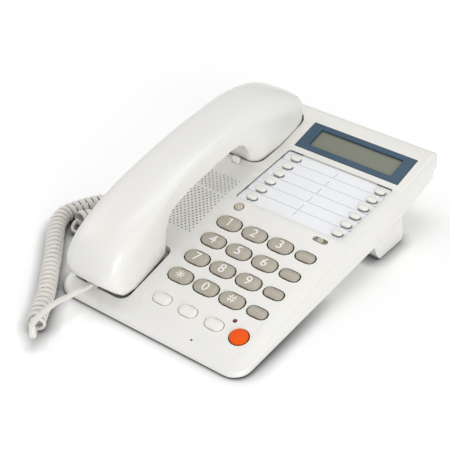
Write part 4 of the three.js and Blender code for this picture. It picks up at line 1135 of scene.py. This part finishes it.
def stroked_figure(strokes):
    """A figure of straight strokes, each given by its two ends and its width in mm."""
    shape = bmesh.new()
    for x0, y0, x1, y1, wide in strokes:
        made = bmesh.ops.create_cube(shape, size=1.0)["verts"]
        length = math.hypot(x1 - x0, y1 - y0)
        bmesh.ops.scale(shape, vec=(length, wide, INK), verts=made)
        turn = Matrix.Rotation(math.atan2(y1 - y0, x1 - x0), 4, "Z")
        middle = Matrix.Translation(((x0 + x1) / 2, (y0 + y1) / 2, 0))
        bmesh.ops.transform(shape, matrix=middle @ turn, verts=made)
    return shape


def lettered_figure(label):
    """A figure cut from the built-in font, centred, with a thin body of ink."""
    text = bpy.data.curves.new("figure_text", "FONT")
    text.body = label
    text.size = FIGURE_SIZE
    text.extrude = INK / 2
    text.resolution_u = 4
    holder = bpy.data.objects.new("figure_text", text)
    bpy.context.scene.collection.objects.link(holder)
    bpy.context.view_layer.update()
    mesh = bpy.data.meshes.new_from_object(holder)
    bpy.data.objects.remove(holder)
    bpy.data.curves.remove(text)
    shape = bmesh.new()
    shape.from_mesh(mesh)
    bpy.data.meshes.remove(mesh)
    bmesh.ops.remove_doubles(shape, verts=shape.verts, dist=1e-5)
    across = [v.co.x for v in shape.verts]
    along = [v.co.y for v in shape.verts]
    centre = ((min(across) + max(across)) / 2, (min(along) + max(along)) / 2)
    bmesh.ops.translate(shape, vec=(-centre[0], -centre[1], 0), verts=shape.verts)
    return shape


def print_figure(node, key, x, y, label):
    """Sets the figure of a label on the crown of its key."""
    if label in STROKED:
        shape = stroked_figure(STROKED[label])
    else:
        shape = lettered_figure(label)
    place = on_face(x, y, key.proud) @ Matrix.Translation((*key.shift, 0))
    bmesh.ops.transform(shape, matrix=place, verts=shape.verts)
    made = finish_mesh("figure_" + node, shape, 30)
    made.data.materials.append(FIGURE_INK)
    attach(made, NODE_BODY[node])


for node, key, x, y, label in key_places:
    if label:
        print_figure(node, key, x, y, label)
print("figures on twelve keys")

# %% [markdown]
# ## The card
# The card is ruled for six rows of names in two columns. Its rules are thin bars
# of ink on the paper, under the clear cover. The same bars, thicker and darker,
# stand for the notches and the seam in which the cover is held.

# %% Card printing
def printed_bars(name, bars, lift, material, body, thick=0.03):
    """Thin printed bars, given as x0, x1, y0, y1 in mm on the sloping face."""
    sheet = bmesh.new()
    for x0, x1, y0, y1 in bars:
        made = bmesh.ops.create_cube(sheet, size=1.0)["verts"]
        bmesh.ops.scale(sheet, vec=(x1 - x0, y1 - y0, thick), verts=made)
        bmesh.ops.transform(
            sheet, matrix=on_face((x0 + x1) / 2, (y0 + y1) / 2, lift), verts=made,
        )
    bmesh.ops.recalc_face_normals(sheet, faces=sheet.faces)
    piece = finish_mesh(name, sheet, 30)
    piece.data.materials.append(material)
    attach(piece, body)
    return piece


CARD_TOP = -1.1
CARD_SIDES = (-18.6, 66.2)
CARD_DIVIDER = (24.2, 24.6)
CARD_LINES = [175.9 - 10.47 * row for row in range(5)]
rules = [(*CARD_SIDES, y - 0.16, y + 0.16) for y in CARD_LINES]
rules += [(*CARD_DIVIDER, y + 0.6, y + 6.6) for y in CARD_LINES]
rules.append((*CARD_DIVIDER, 127.8, 132.7))
printed_bars("card_rules", rules, CARD_TOP + 0.03, CARD_INK, "base")
dots = [(65.7, 66.5, y - 0.3, y + 0.3) for y in CARD_LINES]
printed_bars("card_dots", dots, CARD_TOP + 0.06, GAP_SHADE, "base")
print(len(rules), "rules and", len(dots), "dots printed on the card")

# %% Shade along the card
LEFT_EDGE = (-19.38, -19.2)
REAR_EDGE = (185.8, 185.97)
SHADE_LIFT = -0.5
SHADE_THICK = 0.9

notches = [
    (*LEFT_EDGE, 174.4, 179.2), (*LEFT_EDGE, 131.6, 136.4),
    (-19.2, -7.4, *REAR_EDGE), (54.2, 66.7, *REAR_EDGE),
]
printed_bars(
    "card_notches", notches, SHADE_LIFT, GAP_SHADE, "base",
    thick=SHADE_THICK,
)
printed_bars(
    "card_rear_seam", [(-7.4, 54.2, *REAR_EDGE)], SHADE_LIFT, SEAM_GREY,
    "base", thick=SHADE_THICK,
)
print(len(notches), "notches and a seam along the card")

# %% [markdown]
# ## Ringer slide and grille
# The ringer slide moves in a shallow track of a darker tan. The grille has real
# holes, and a dark disc a little inside each paints the shade in the hole, so the
# light housing behind it does not show.

# %% Track of the ringer slide
TRACK_SIZE = (11.5, 4.1)
TRACK_CORNER = 2.04
TRACK_THICK = 0.2
TRACK_X, TRACK_Y, TRACK_LIFT = 55.2, 115.2, -1.3

track = bmesh.new()
add_plate(track, *TRACK_SIZE, TRACK_CORNER)
bmesh.ops.solidify(track, geom=track.faces[:], thickness=TRACK_THICK)
bmesh.ops.transform(
    track, matrix=on_face(TRACK_X, TRACK_Y, TRACK_LIFT), verts=track.verts,
)
bmesh.ops.recalc_face_normals(track, faces=track.faces)
ringer_track = finish_mesh("ringer_track", track, 30)
ringer_track.data.materials.append(TRACK_TAUPE)
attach(ringer_track, "base")
print("track under the ringer slide")

# %% Shade in the grille
GRILLE_FRONT, GRILLE_REAR = 80.5, 137.0
GRILLE_RIGHT, GRILLE_LEFT = -27.0, -53.2
GRILLE_ROW = 1.98
GRILLE_PITCH = 3.45
GRILLE_BRIDGE = 118.0
BRIDGE_HALF = 0.8
DISC_RADIUS = 0.71
DISC_LIFT = -0.4
DISC_THICK = 0.1


def grille_shade():
    """A dark disc of painted shade a little inside each hole, in rows that are shifted by
    turns.
    """
    discs = bmesh.new()
    row, y = 0, GRILLE_FRONT
    while y <= GRILLE_REAR:
        x = GRILLE_RIGHT - (row % 2) * GRILLE_PITCH / 2
        while x >= GRILLE_LEFT:
            if abs(y - GRILLE_BRIDGE) > BRIDGE_HALF:
                bmesh.ops.create_circle(
                    discs, cap_ends=True, segments=10, radius=DISC_RADIUS,
                    matrix=on_face(x, y, DISC_LIFT),
                )
            x -= GRILLE_PITCH
        row, y = row + 1, y + GRILLE_ROW
    count = len(discs.faces)
    bmesh.ops.solidify(discs, geom=discs.faces[:], thickness=DISC_THICK)
    bmesh.ops.recalc_face_normals(discs, faces=discs.faces)
    made = finish_mesh("grille_shade", discs, 30)
    made.data.materials.append(GAP_SHADE)
    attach(made, "base")
    return count


print("shade in", grille_shade(), "grille holes")
